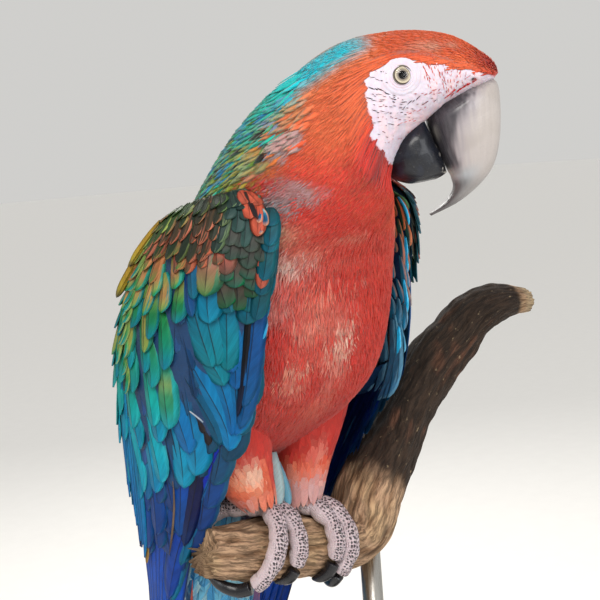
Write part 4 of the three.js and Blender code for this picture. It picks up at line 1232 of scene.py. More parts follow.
def wingScales(hand, rng):
    # dark feathers over the shoulder, small and round in front, longer and streaked with brown towards the rear
    begins, ends, inner, rim, widths = [], [], [], [], []
    for number in range(scaleRows["rows"]):
        share = number / (scaleRows["rows"] - 1)
        length, width = mix(*scaleRows["length"], share), mix(*scaleRows["width"], share)
        count = int(170 / (width * scaleRows["spacing"]))
        across = 0.06 + (np.arange(count) + 0.5 * (number % 2)) / count * 0.96 + rng.normal(0, 0.006, count)
        tips = mix(scaleRows["first"], scaleRows["last"], share) - (190 - coverTop(across)) * 0.6
        tips = tips + rng.normal(0, 1.8, count)
        keep = (across > scaleRows["rear"] - 0.03 - 0.27 * ease(share, 0.45, 0)) & (tips < coverTop(across) - 3)
        across, tips = across[keep], tips[keep]
        begins.append(pair(across + 0.05, tips + length * rng.uniform(0.95, 1.1, len(across))))
        ends.append(pair(across - 0.025, tips))
        patchy = waves(xyz(across * 100, tips, 7), 26, 31)
        inner.append(painted("1c281c", (len(across), 3), ("2c4420", ease(across, 0.45, 0.6)),
                             ("3a2c1e", ease(patchy, -0.2, 0.6) * ease(tips, 180, 168) * 0.9),
                             ("1c302e", ease(across, 0.36, 0.26))))
        yellow = ease(rng.random(len(across)), 0.75, 0.9) * ease(tips, 178, 166) * ease(across, 0.4, 0.5)
        rim.append(painted("4a6636", (len(across), 3),
                           ("a05a44", ease(tips, 181, 171) * ease(patchy, -0.7, 0) * ease(across, 0.28, 0.36)),
                           ("8a9a4a", yellow), ("5c6a58", ease(across, 0.34, 0.26))))
        widths.append(np.full(len(across), width))
    begins, ends, widths, inner, rim = (np.concatenate(parts) for parts in (begins, ends, widths, inner, rim))
    return wingBatch(hand, rng, begins, ends, widths, inner, rim, (2.2, -0.5), 0.4, 0.4, 0.04, 0.85, 0.22)


def underFeathers(hand, rng):
    # a layer of coverts below the rest, so that no gap between them shows the wing's arm
    tips, across = np.meshgrid(np.arange(152, -20, -15), np.linspace(0, 0.95, 10), indexing="ij")
    tips = (tips + 6 * (np.arange(10) % 2) - 14 * across).ravel()
    across = (across + rng.normal(0, 0.01, across.shape)).ravel()
    colour = painted("0b3c58", (tips.size, 3), ("2a4a80", spot(across, 0, 0.38, 0, 0.12, 1) * 0.9),
                     ("4a6a2e", ease(across, 0.42, 0.52) * ease(tips, 60, 100)),
                     ("0c6476", ease(across, 0.42, 0.52) * ease(tips, 90, 50)),
                     ("0a3472", ease(tips, 40, 10)),
                     ("1c2a26", ease(tips, 128, 142) * ease(across, 0.4, 0.3)))
    return wingBatch(hand, rng, pair(across + 0.13, tips + 46), pair(across, tips), 19, colour,
                     mix(colour, tint("1a7c8c"), 0.25), (5, 3.3), 0.5, 0.5, 0.04, 0.3, 0.12)


# each row of the wing: how many, first and last root, first and last tip (across, up), width, depth at root and tip,
# how streaky, and the colours down its middle and on its rim
coverRows = [
    [1, (0.21, 193), (0.12, 176), 3, (-0.8, -2.3), 0, "3c2a26 1c1c20 2c2426 7a4238"],
    [3, (0.25, 196), (0.19, 194), (0.2, 182), (0.12, 180), 7.5, (-0.1, -1.4), 0.5, "a04432 ae503c 8c4030 b86048"],
    [2, (0.21, 190), (0.15, 189), (0.165, 170), (0.115, 168), 8.5, (-0.1, -1.4), 0.3, "a4422f b04e3a 9c4430 bc6048"],
    [3, (0.11, 184), (0.08, 176), (0.09, 174), (0.065, 164), 4.4, (0.4, -1.6), 0.8,
     "7a9498 2a6488 1f5a7c b87858 c88a68"],
    [3, (0.31, 190), (0.2, 184), (0.27, 176), (0.17, 167), 11, (2, -0.3), 0.1, "1c3432 263c3a 2a4440 3c5248"],
    [5, (0.34, 184), (0.09, 174), (0.29, 166), (0.09, 158), 12.5, (2.3, -0.1), 0.25, "26302a 3a3632 34403a 50564a"],
    [5, (0.3, 174), (0.08, 168), (0.24, 155), (0.08, 150), 14, (2.6, 0.1), 0.2, "2a2c2a 38322e 2a4038 3c5a44"],
    [4, (0.25, 162), (0.08, 158), (0.185, 142), (0.07, 141), 16.5, (2.8, 0.2), 0.35, "4c3a32 3f352e 1c4a3c 1e7a46"],
    [3, (0.24, 150), (0.1, 148), (0.16, 128), (0.06, 131), 18, (3, 0.4), 0.35, "4a3830 34322a 1a4a30 1d7a40"],
    [6, (0.045, 190), (0.035, 146), (0.004, 170), (-0.004, 126), 10, (1.2, -0.9), 0.3, "1c4046 1f5058 1f5a6c 3a7a80"],
    [1, (0.075, 160), (0.035, 141), 7.5, (1.8, -1.3), 0, "8a3c2c 944636 a05a42"],
    [3, (0.46, 178), (0.34, 178), (0.4, 158), (0.31, 157), 10, (2.2, -0.2), 0.9, "5a2c20 843a28 2a3424 b0583e"],
    [4, (0.5, 170), (0.3, 168), (0.42, 149), (0.25, 152), 11, (2.4, 0), 0.9, "6a3424 8c4432 34402e b05a40"],
    [1, (0.34, 174), (0.245, 138.5), 19, (2.2, -0.4), 0.8, "3c5a68 8c5c4c 44703c 3f7a58"],
    [1, (0.29, 172), (0.2, 149), 14, (2.4, 0.1), 0.7, "8a4a42 9a4e42 4a3c34 7a5244"],
    [1, (0.45, 172), (0.285, 137), 11, (2.6, 0.2), 0.1, "16406c 1f5a80 1a7088 2a8c9c"],
    [1, (0.42, 160), (0.27, 128), 10, (3, 0.8), 0.1, "1a3c78 1f4480 1c5080 3a6c90"],
    [1, (0.27, 152), (0.205, 124.5), 18, (2.8, 0.2), 0.05, "0e6c88 0c7898 0f86a0 0f8090"],
    [2, (0.2, 148), (0.12, 146), (0.14, 126), (0.08, 124), 15, (3.2, 0.6), 0.05, "0c5878 0f6680 12606c 1a7070"],
    [2, (0.1, 146), (0.06, 146), (0.07, 126), (0.04, 128), 12, (3.2, 0.7), 0.1, "10505c 12586a 165a60 2a7a60"],
    [1, (0.36, 152), (0.165, 101), 20, (3.2, 0.8), 0.05, "0b5274 07748a 08828c 0c7890"],
    [2, (0.26, 140), (0.18, 138), (0.15, 100), (0.1, 98), 17, (3.4, 0.8), 0.05, "0a6484 087c8c 077880 0a8a8e"],
    [1, (0.34, 134), (0.115, 91), 20, (3.6, 1.3), 0.05, "0a4e7e 067488 078692 2a8ea0"],
    [3, (0.22, 128), (0.09, 130), (0.09, 92), (0.05, 84), 16, (3.6, 1.2), 0.05, "0a6c94 0a6098 0a5c98 0d7aa2"],
    [1, (0.34, 124), (0.012, 54), 21, (3.9, 1.5), 0.05, "0a5a94 067cac 0a86c0 2a9cc8"],
    [2, (0.24, 118), (0.14, 124), (0.03, 58), (0.02, 64), 18, (3.8, 1.5), 0.05, "0a6a94 0a70a0 0a68a8 2a90b8"],
    [1, (0.085, 142), (0.035, 74), 5, (3.1, 0.3), 0, "0a0a10 08080c 0a1430 08080c"],
    [2, (0.055, 148), (0.045, 140), (0.005, 76), (-0.005, 66), 13, (3.4, 0.7), 0.03, "24548c 24508e 1c588c 1c6898"],
    [1, (0.38, 120), (0.075, 57), 15, (4.4, 2.3), 0.1, "14506e 125070 0f5a78 0c6c84"],
    [2, (0.36, 136), (0.31, 130), (0.24, 94), (0.2, 84), 9.5, (4.6, 2.9), 0.3, "1c4a78 1c4270 1a3458 2a5a80"],
    [2, (0.25, 88), (0.21, 82), (0.16, 62), (0.125, 57), 8, (4.7, 2.9), 0.4, "2a2226 241c20 1c181c 3a302c"],
    [1, (0.212, 77), (0.158, 71), 1, (1.4, 0.4), 0, "a0a8b0 7a8490 8a929a"],
]
rearRows = [
    [8, (0.5, 174), (1, 166), (0.44, 156), (0.99, 150), 12, (2.4, -0.2), 0.9, "4c4a24 7c4c30 3c5a2a a06840"],
    [9, (0.47, 166), (1, 160), (0.41, 148), (0.98, 142), 12, (2.5, -0.1), 0.9, "6c5a2c 8c5434 3c6c34 b07048"],
    [9, (0.46, 160), (1, 152), (0.385, 138.5), (0.98, 134), 13, (2.6, 0), 0.8, "6c7034 9a6440 3c8a44 4aa088"],
    [9, (0.47, 152), (1, 144), (0.4, 127), (0.97, 124), 13, (2.7, 0.1), 0.8, "74803c a07446 5a9444 3aa0a0"],
    [8, (0.4, 148), (1, 136), (0.32, 117), (0.96, 112), 15, (2.8, 0.2), 0.6, "70703c 5c803c 2c804c 128494 2a909c"],
    [8, (0.5, 134), (1, 126), (0.43, 104.5), (0.95, 100), 14.5, (2.9, 0.3), 0.6, "7a6c3c 7c803c 708640 5c9c80"],
    [8, (0.42, 128), (1, 116), (0.32, 97), (0.93, 90), 15, (3.1, 0.5), 0.5, "3c8440 1e8a64 0e86a0 2a9c9c"],
    [7, (0.46, 120), (1, 106), (0.38, 86), (0.91, 80), 16, (3.2, 0.6), 0.5, "6c8a40 3c9470 1a98a0 5ab8a8"],
    [7, (0.57, 150), (0.53, 100), (0.585, 138), (0.5, 84), 6, (1.8, -0.6), 0.8, "6c7c38 5c8c48 2a989c 8c9c54"],
    [6, (0.62, 162), (0.56, 118), (0.6, 142), (0.545, 100), 5.5, (1.8, -0.8), 0.8, "748038 6c8c48 3a989c 8ca058"],
    [1, (0.38, 110), (0.27, 66.5), 17, (3.3, 0.6), 0.5, "3c8c84 6c8c54 5c9468 18a0ac 3ab0b0"],
    [6, (0.46, 108), (0.97, 96), (0.345, 65), (0.88, 50), 17, (3.6, 0.9), 0.6, "4c8478 3c9c84 12a89c 0ea0ac 5ac0b8"],
    [6, (0.42, 100), (1, 90), (0.3, 54), (0.88, 42), 17, (3.8, 1.1), 0.4, "2c8484 128ca0 0892b4 3ab0bc"],
    [5, (0.43, 84), (0.95, 72), (0.29, 29), (0.8, 14), 17, (4.1, 1.4), 0.3, "2c8c9c 30a8b0 0ca4b4 0a94b0 7ac8d0"],
    [1, (0.26, 94), (0.13, 38.5), 20, (4, 1.4), 0.15, "0a6ca4 0a80b0 0a98bc 1aa8c4"],
    [1, (0.3, 88), (0.17, 30.5), 19, (4.3, 1.7), 0.15, "0a74a8 0c94b8 0aa0c0 5ac0d0"],
    [1, (0.34, 100), (0.18, 52), 18, (3.8, 1.1), 0.1, "0a78a4 0a70a8 0a6ca8 0f84b0"],
    [5, (0.44, 78), (0.95, 62), (0.33, 20), (0.8, 4), 18, (4.5, 1.8), 0.3, "0a7c9c 0a90b0 0a84b0 2ab0c8"],
    [4, (0.49, 72), (0.97, 55), (0.4, 12), (0.84, -6), 17, (4.6, 2), 0.2, "0a7494 0a7ca4 0668a0 0a8cb8"],
]
flightRows = [
    [5, (0.42, 64), (0.92, 44), (0.32, -8), (0.78, -32), 20, (5, 2.2), 0.15, "0a5aa4 0a4a98 083a80 0a68b0"],
    [1, (0.26, 78), (0.15, -2), 17, (4.9, 2.2), 0.1, "1034b0 0c40ac 0a4a98 08488a 0a56a0"],
    [1, (0.15, 68), (0.095, -8), 10.5, (4, 1.3), 0, "080a34 060a30 060e40 0a2a5c 0a1c68"],
    [1, (0.06, 66), (0.19, -46), 14, (4.5, 1.7), 0.05, "0a2cc0 0a30b4 0a48a8 0a3f9c 0a68a8"],
    [2, (0.03, 62), (0.05, 50), (0.1, -22), (0.17, -50), 12, (5, 2.2), 0.3, "0a50a0 0a649c 0f6c88 0f7a94"],
    [6, (0.58, 92), (0.47, 50), (0.555, 8), (0.45, -24), 6.5, (3.2, 0.8), 0.1, "1a88b0 1a80b8 2070b8 3aa8cc"],
    [1, (0.49, 20), (0.46, -26), 7, (4, 1.6), 0.3, "6c5a30 946c30 8a6a34 a8884a"],
    [1, (0.235, 34), (0.2, -14), 1.5, (3.4, 1.3), 0, "6a5648 7a6450 4a3c34 5a4a3c"],
    [11, (0.62, 60), (0.08, 70), (0.75, -72), (0.3, -198), 13, (6.2, 3.2), 0.1, "0a1a5c 0d44a8 0f50c0 0a1c58 020308"],
    [9, (0.5, 40), (0.06, 50), (0.6, -110), (0.24, -160), 12, (5.4, 2.9), 0.1, "0c2a8c 0e54c0 1054b8 0a2468 03040c"],
]
insideRows = [  # on the side that faces the body
    [5, (0.34, 196), (0, 188), (0.3, 178), (0, 170), 12, (0.6, 2.6), 0.5, "20301e 2c4a2c 4a7a4c"],
    [5, (0.34, 184), (0, 176), (0.3, 166), (0, 158), 12, (0.6, 2.4), 0.6, "1c3a28 28503c c4643c"],
    [5, (0.34, 172), (0, 164), (0.3, 153), (0, 146), 12, (0.6, 2.3), 0.5, "1e4a3c 1f5c58 b8643c"],
    [5, (0.32, 160), (0, 152), (0.28, 140), (-0.01, 134), 12, (0.6, 2.2), 0.5, "1a5060 1c6878 b06a48"],
    [5, (0.32, 148), (0, 140), (0.28, 128), (-0.01, 121), 12, (0.6, 2.2), 0.4, "1a5a74 1a7090 9a6a54"],
    [5, (0.3, 136), (0, 128), (0.27, 115), (-0.01, 108), 12, (0.6, 2.2), 0.4, "1c5c78 1c78a0 94705c"],
    [5, (0.3, 124), (0, 116), (0.26, 102), (-0.01, 95), 13, (0.6, 2), 0.3, "24546c 1c7ca8 6a8ca0"],
    [4, (0.28, 114), (0, 104), (0.24, 88), (-0.01, 82), 14, (0.6, 2), 0.4, "2a5a74 1c7090 5c90a8"],
    [5, (0.34, 112), (0.02, 100), (0.22, 58), (-0.01, 52), 15, (0.2, 1.4), 0.5, "2c5068 24506c 204868 4a7890"],
    [1, (0.1, 104), (0.09, 72), 9, (1, 3), 0.3, "a88074 b89080 c8a490"],
    [4, (-0.01, 182), (-0.01, 100), (-0.012, 160), (-0.015, 78), 7, (-1, 0.8), 0.1, "1a90c0 1aa0d0 68c8e8"],
]
goldFeathers = [  # root and tip (across, up), width: they stand out behind the wing
    [(0.69, 176), (0.665, 152), 4.6], [(0.68, 162), (0.655, 135), 5.2], [(0.69, 172), (0.68, 150), 4.4]]


def rowBatch(hand, rng, row, inside=False):
    count, *places, width, depth, streaky, codes = row
    places = np.array(places, float)  # one feather alone has one root and one tip, a row has its first and last
    rootFirst, rootLast, tipFirst, tipLast = places if len(places) == 4 else np.repeat(places, 2, 0)
    share = np.linspace(0, 1, count)[:, None]
    begin, end = mix(rootFirst, rootLast, share), mix(tipFirst, tipLast, share)
    if count > 1:
        begin = begin + rng.normal(0, 1, (count, 2)) * [0.006, 1.5]
        end = end + rng.normal(0, 1, (count, 2)) * [0.008, 1.8]
        end[::2, 1] += 0.28 * width  # neighbours end at different levels
    *codes, rim = codes.split()
    inner = ramped(list(zip(np.linspace(0.1, 1, len(codes)), codes)))
    edge = mix(inner, tint(rim), 0.75)
    # painted light: feathers on the wing's inner side are made 1.5 times brighter against the shade they lie in; the
    # others are deepened
    inner, edge = (np.broadcast_to(colour * 1.5 if inside else deepBlue(colour), (count, *colour.shape))
                   for colour in (inner, edge))
    return wingBatch(hand, rng, begin, end, width, inner, edge, depth, 0.5, 0.55, 0.05, streaky, 0.1,
                     rng.normal(0, 0.004, count), inside)


def deepBlue(colour):
    # blues and teals are deep and clean: they keep only a little red and less light
    cold = ease(colour[..., 1:].max(-1) - colour[..., 0] * 1.6, 0.015, 0.1)[..., None]
    return mix(colour, colour * np.array([0.12, 0.64, 0.7]), cold)


def goldBatch(hand, rng):
    # their flats face forwards and outwards
    gold = np.array([[*root, *tip, width] for root, tip, width in goldFeathers])
    line, length = bladeLine(hand, gold[:, :2], gold[:, 2:4], np.array([[0, -3]]))
    line = flatLine(line[0], unit(np.array([-0.66 * hand, -0.74, 0.1])))
    made = vanes(line, "long", gold[:, 4], 0.5, 0.4)
    made["streaky"] = 0.3
    inner = ramped([(0, "8a6c24"), (0.6, "9a7c28"), (0.82, "94842c"), (1, "4a463c")])
    inner = np.broadcast_to(inner, (len(gold), *inner.shape))
    return made, inner, inner * 0.7, wingUnwrap(gold[:, :2]), length


def buildWings():
    for hand, side in ((1, "right"), (-1, "left")):
        rng = np.random.default_rng(60 + hand)
        batches = [wingScales(hand, rng), underFeathers(hand, rng), goldBatch(hand, rng)]
        batches += [rowBatch(hand, rng, row) for row in coverRows + rearRows]
        batches += [rowBatch(hand, rng, row, True) for row in (insideRows if hand < 0 else insideRows[3:7])]
        coatPiece("coverts_" + side, batches, flightLook, 0.006)
        batches = [rowBatch(hand, rng, row) for row in flightRows]
        piece = coatPiece("flights_" + side, batches, flightLook, 0.03)
        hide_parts("flight_" + side)
    print("wings feathered")


tail = {"lean": math.radians(11), "back": 56, "up": 12, "length": 425, "pairs": 6, "width": 34, "coverts": 420}
tailAlong = np.array([0, math.sin(tail["lean"]), -math.cos(tail["lean"])])
tailOut = np.array([0, math.cos(tail["lean"]), math.sin(tail["lean"])])
covertRow = smoothRows([[-26, 33, 26, 34], [8, 33, 16, 27], [48, 30, 7.5, 20], [92, 26, 4.5, 14], [128, 19, 3, 10]])


def tailPoint(side, along, dorsal):
    base = np.array([0, tail["back"], tail["up"]])
    point = base + np.asarray(along)[..., None] * tailAlong + np.asarray(dorsal)[..., None] * tailOut
    point[..., 0] = side
    return point


def covertAt(t, angle):
    along, half, dorsal, ventral = np.moveaxis(covertRow(1 - t), -1, 0)
    middle, depth = (dorsal - ventral) / 2, (dorsal + ventral) / 2
    return tailPoint(-squared(np.sin(angle)) * half, along, middle + squared(np.cos(angle)) * depth)


def buildTail():
    rng = np.random.default_rng(80)
    shares = np.array(shapes["long"][0])
    red = [(0, "7a2a1c"), (0.3, "c04424"), (0.72, "b53a22"), (0.84, "5a3a5c"), (0.92, "2a66a8"), (1, "2f8fc0")]
    blue = [(0, "4a2a24"), (0.35, "8c3a28"), (0.55, "3a4a80"), (0.75, "2460a8"), (1, "2a86bc")]
    middles, widths, inner = [], [], []
    for pairNumber in range(tail["pairs"]):
        length = tail["length"] * (1 - 0.13 * pairNumber + 0.004 * pairNumber ** 2)
        for hand in (-1, 1):
            side = hand * mix(4 + 1.6 * pairNumber, 5 + 3.9 * pairNumber, shares)
            depth = -1.5 * pairNumber - 0.7 * hand - side ** 2 / 420
            middles.append(tailPoint(side, -8 + (length + 6) * shares, depth))
            widths.append(tail["width"] - 1.5 * pairNumber)
            inner.append(ramped(red if pairNumber < 4 else blue))
    count, inner = len(middles), np.array(inner)
    rim = np.broadcast_to(ramped([(0, "8a2f1c"), (0.7, "d2552e"), (0.86, "3a7ab8"), (1, "3fa0cc")]), inner.shape)
    made = vanes(flatLine(np.array(middles), tailOut), "pointed", np.array(widths), 1.1, 0.25)
    root = pair(np.linspace(0.06, 0.94, count), 0.5)
    batch = made, inner, rim, root, np.full(count, 420)
    piece = coatPiece("tail_feathers", [batch], flightLook, 0.06)
    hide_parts("tail")
    count = tail["coverts"]
    t, angle, unwrap = scatter(covertAt, lambda p, q, r: ease(p, 0.05, 0.3), count, 3, (0.05, 1))
    size = mix(58, 34, t) * rng.uniform(0.85, 1.15, count)
    line = layOn(covertAt, t, angle, size, shapes["long"][0], rng.normal(0, 0.06, count), (-3.2, 0), (0.01, 0.02), 1)
    made = vanes(line, "long", 13 * rng.uniform(0.85, 1.15, count), 0.5, 0.6)
    colour = painted("5fa6c4", (count, 3), ("3f8fc0", ease(rng.random(count), 0.5, 0.9)),
                     ("93b9bc", ease(rng.random(count), 0.6, 0.95) * 0.8))
    rim = mix(colour, tint("b6dbe4"), 0.5)
    piece = coatPiece("tail_covert_feathers", [(made, colour, rim, unwrap, size)], flightLook, 0.006)
    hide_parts("tail_coverts")
    print("tail built")


perch = {"along": unit(np.array([0.98, -0.19, -0.2])), "middle": np.array([0, 0, -24]), "radius": 18}
perch["front"] = unit(np.cross(perch["along"], [0, 0, 1]))
perch["up"] = unit(np.cross(perch["front"], perch["along"]))


def perchPoint(along, degrees, out):
    angle = np.radians(degrees)
    away = np.cos(angle)[..., None] * perch["up"] + np.sin(angle)[..., None] * perch["front"]
    middle = perch["middle"] + np.asarray(along)[..., None] * perch["along"]
    return middle + away * (perch["radius"] + out)[..., None], away


def perchPath(middle, path):
    # a line of (along, degrees, out) places round the perch, with the ways out and across that are square to it
    centre, away = perchPoint(middle + path[:, 0], path[:, 1], path[:, 2])
    tangent = unit(np.gradient(centre, axis=0))
    away = unit(away - tangent * (away * tangent).sum(-1, keepdims=True))
    return centre, away, np.cross(tangent, away)


footLook = {"toeRings": 110, "toeAround": 56, "padDepth": 0.85, "scuteHeight": 0.3, "scuteStep": 2.3}


def footFinish():
    # round granules with dark seams between them, and crosswise plates on top of the toes
    finish = Finish("scaly_foot", Roughness=0.6, Subsurface_Weight=0.06, Subsurface_Scale=0.002, Specular_IOR_Level=0.4)
    along, around, top = finish.split(finish.stored("reach", "Vector"))
    spotAt = finish.join(along * 0.8, around * 0.75, 0)
    cells = {"Vector": spotAt, "Scale": 1, "Randomness": 0.55}
    grains = finish.node("ShaderNodeTexVoronoi", {"feature": "DISTANCE_TO_EDGE"}, cells)
    small = {"Vector": finish.join(along, around, 4), "Scale": 1.5, "Randomness": 0.8}
    fine = finish.node("ShaderNodeTexVoronoi", {"feature": "DISTANCE_TO_EDGE"}, small)
    where = finish.where()
    blotch = finish.noise(where, 160, 3)
    seam = grains.within(0.1, 0.02) * (top * 0.3 + 0.08) * blotch.within(0.35, 0.6, 0.3, 1)
    colour = finish.mix(blotch.within(0.3, 0.75) * 0.45, finish.stored("inner"), finish.stored("rim"))
    colour = finish.mix(seam, colour, "17131a")
    colour = finish.mix(fine.within(0.08, 0) * 0.22, colour, "6d5a62")
    sway = finish.noise((along * 0.25, around * 0.25, 3), 1, 2) * 1.6
    dotAt = {"Vector": finish.join(along * 0.6 + sway, around * 0.5 - sway, 7.17), "Scale": 1, "Randomness": 0.34}
    dots = finish.node("ShaderNodeTexVoronoi", inputs=dotAt).within(0.41, 0.3)
    colour = finish.mix(dots * top.within(0.3, 0.8) * 0.92, colour, "100d12")
    height = grains.within(0, 0.3) * 1.2 + fine.within(0, 0.2) * 0.35 + blotch * 0.3
    return finish.surface(colour, blotch.within(0.3, 0.7, 0.48, 0.68), height, 0.0006, 0.7)


def toeRings(middle, rows):
    shares = np.linspace(0, 1, footLook["toeRings"])
    path = smoothRows(rows)(shares)
    centre, away, side = perchPath(middle, path)
    pads = [r - 1.2 * i / (2 * len(rows)) for i, r in enumerate(([5.4, 6.1, 5.9, 6.4] * len(rows))[:2 * len(rows)])]
    radius = smoothRows([[r] for r in pads])(shares)[:, 0]
    length = norm(np.diff(centre, axis=0)).sum()
    down = shares * length
    # the tip closes round
    close = np.sqrt(np.clip(1 - ((down - (length - 5)) / 5).clip(0, 1) ** 2, 0.02, 1))
    angle = circle(footLook["toeAround"])
    under = ease(-np.cos(angle), -0.35, 0.5)[None]
    pad = np.abs(np.sin(math.pi * (shares * max(3, round(length / 11)) + 0.15)))[:, None]
    scute = np.abs(np.sin(math.pi * down / footLook["scuteStep"]))[:, None]
    top = ease(np.cos(angle + 0.35), 0.15, 0.75)[None]
    swell = footLook["padDepth"] * (pad ** 0.6 - 0.55) * under
    plates = footLook["scuteHeight"] * (scute ** 0.5 - 0.6) * top
    points = hoops(centre, away, side, angle, (radius * close)[:, None] + (swell + plates) * close[:, None])
    colour = painted("cdbcc0", points.shape, ("d8c6c4", under), ("5a4c54", (scute < 0.3) * top * 0.3),
                     ("8f7a80", ease(pad, 0.2, 0.02) * under * 0.6))
    outer = ease(np.cos(angle + 0.6), -0.3, 0.5)[None]  # the side that carries the dark dots
    return points, colour, xyz(down[:, None], (angle - math.pi)[None] * radius[:, None], outer)


def buildFeet():
    finish = footFinish()
    claws = hornFinish("claw_black", 0.24, 0.1)
    for side, one in feet.items():
        loops = [toeRings(one["middle"], rows) for rows in one["toes"].values()]
        x, y, z, _ = one["thigh"][-1]
        ends, _ = perchPoint(np.array([one["middle"] + 1]), np.array([-6]), np.array([9]))
        shares = np.linspace(0, 1, 40)
        row = smoothRows([[x, y + 3, z + 9, 7], [x, y + 2, z, 7.5], [*ends[0], 8], [*(ends[0] - [0, 0, 5]), 5]])(shares)
        angle = circle(footLook["toeAround"])
        shank = row[:, None, :3] + xyz(np.cos(angle), np.sin(angle), 0)[None] * row[:, None, 3:]
        loops.append((shank, painted("c9b6bb", shank.shape), xyz(shares[:, None] * 30, angle[None] * 7, 0.85)))
        lofts = Lofts()
        for rings, colour, reach in loops:
            lofts.add(rings, inner=colour, rim=colour * np.array([0.82, 0.76, 0.78]), reach=reach)
        piece = lofts.piece("scaly_foot_" + side, finish)
        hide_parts("foot_" + side)
        for name, rows in one["claws"].items():
            shares = np.linspace(0, 1, 44)
            centre, away, across = perchPath(one["middle"], smoothRows(rows)(shares))
            radius = smoothRows([[4.1], [3.9], [3], [0.7]])(shares)[:, 0] * np.sqrt(1 - 0.9 * ease(shares, 0.93, 1))
            angle = circle(32)
            rings = hoops(centre, away, across, angle, radius[:, None], 0.88)
            piece = loftPiece("talon_%s_%s" % (side, name), rings, claws, inner=painted("0d0d11", rings.shape),
                              rim=painted("26252b", rings.shape), reach=xyz(shares[:, None] * 40, angle[None] * 3, 0))
            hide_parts("claw_%s_%s" % (side, name))
    print("feet built")


branch = {"rings": 340, "around": 120}
branchLine = smoothRows([[0.98 * r, -0.19 * r, u] for r, u in [
    (-60, -11), (-30, -18), (0, -24), (30, -30), (50, -27), (63, -4), (83, 21), (99, 44), (120, 67), (137, 79),
    (152, 90), (168, 96), (187, 98), (209, 96)]])
branchRadius = smoothRows([[14], [17.5], [18], [19], [20.5], [19.5], [17], [17.5], [16.5], [13.5], [8]])


def woodFinish():
    finish = Finish("branch_wood", Roughness=0.8, Specular_IOR_Level=0.25)
    along, around, bark = finish.split(finish.stored("reach", "Vector"))
    warp = finish.noise((along * 0.06, around * 0.1, 1), 1, 3) * 3.5
    fibres = finish.noise((along * 0.07, around * 0.5 + warp, 0), 1, 5, 0.65)
    strands = finish.noise((along * 0.16, around * 1.3 + warp, 2), 1, 4, 0.7)
    lumps = finish.noise((along * 0.16, around * 0.3, 5), 1, 4, 0.6)
    colour = finish.mix(fibres.within(0.38, 0.62), finish.stored("rim"), finish.stored("inner"))
    colour = finish.mix(strands.within(0.42, 0.3) * 0.7, colour, "2a1d14")
    colour = finish.mix(lumps.within(0.62, 0.72) * 0.35, colour, "d9bf96")
    height = fibres * 2.2 + strands * 1.2 + lumps * 1.6
    return finish.surface(colour, strands.within(0.3, 0.7, 0.9, 0.7), height, 0.0013, 0.85)


def buildBranch():
    fine = np.linspace(0, 1, 900)
    run = np.concatenate([[0], np.cumsum(norm(np.diff(branchLine(fine), axis=0)))])
    share = np.linspace(0, 1, branch["rings"])
    centre = branchLine(np.interp(share * run[-1], run, fine))
    tangent = unit(np.gradient(centre, axis=0))
    front = unit(np.cross(tangent, unit(np.array([0.19, 0.98, 0]))))  # upwards, square to the branch
    t, a = share[:, None], circle(branch["around"])[None]
    down = share[:, None] * run[-1]
    stretched = xyz(down * 0.16, np.cos(a) * 18, np.sin(a) * 18)
    rough = waves(stretched, 5.5, 51) * 0.55 + waves(stretched, 2.6, 52) * 0.3
    knot = np.maximum(spot(t, (a - 4.4), 0.68, 0, 0.016, 0.32), 0)
    r = branchRadius(share)[:, :1] * (1 + 0.05 * np.sin(3 * a + 9 * t) + 0.04 * np.sin(2 * a - 23 * t))
    r = r + rough * mix(1.4, 1.1, ease(t, 0.36, 0.42))  # smoother where the feet hold it
    r = r + 2.2 * knot - 1.6 * spot(t, (a - 4.4), 0.68, 0, 0.007, 0.15)
    ring = hoops(centre, front, np.cross(tangent, front), a, r)
    # both ends are broken off, ragged along the grain
    jag = waves(xyz(0 * t, np.cos(a) * 12, np.sin(a) * 12), 5, 53)
    ring = ring - tangent[:, None] * ((jag * 4 - 1) * ease(t, 0.06, 0))[..., None]
    patchy = waves(ring, 24, 54)
    bark = ease(t + patchy * 0.012, 0.43, 0.47) * ease(t + patchy * 0.006, 0.965, 0.945)
    red = np.maximum(spot(t, 0, 0.74, 0, 0.09, 1) * ease(patchy, -0.15, 0.35),
                     spot(t, 0, 0.57, 0, 0.05, 1) * ease(patchy, 0.2, 0.6))
    colour = painted("bb9879", ring.shape, ("c6a57e", ease(patchy, -0.2, 0.7) * 0.7),
                     ("6d4a2e", ease(rough, 0.1, -0.7) * 0.7), ("3a2c22", bark),
                     ("6a4634", bark * red * ease(waves(stretched, 9, 57), -0.3, 0.4) * 0.8),
                     ("5a3a2a", bark * knot), ("cdb591", ease(t, 0.967, 0.99) * 0.8))
    piece = loftPiece("branch", ring, woodFinish(), inner=colour, rim=mix(colour * 0.42, tint("1c130d"), 0.2),
                      reach=xyz(down, a * 18, bark))
    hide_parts("perch_branch")
    print("branch built")


def turnedPiece(name, profile, sides, middle, material):
    turn = circle(sides)
    rings = np.stack([xyz(r * np.cos(turn), r * np.sin(turn), z) for r, z in profile]) + np.array(middle)
    return loftPiece(name, rings, material, lambda points: points / 1000)


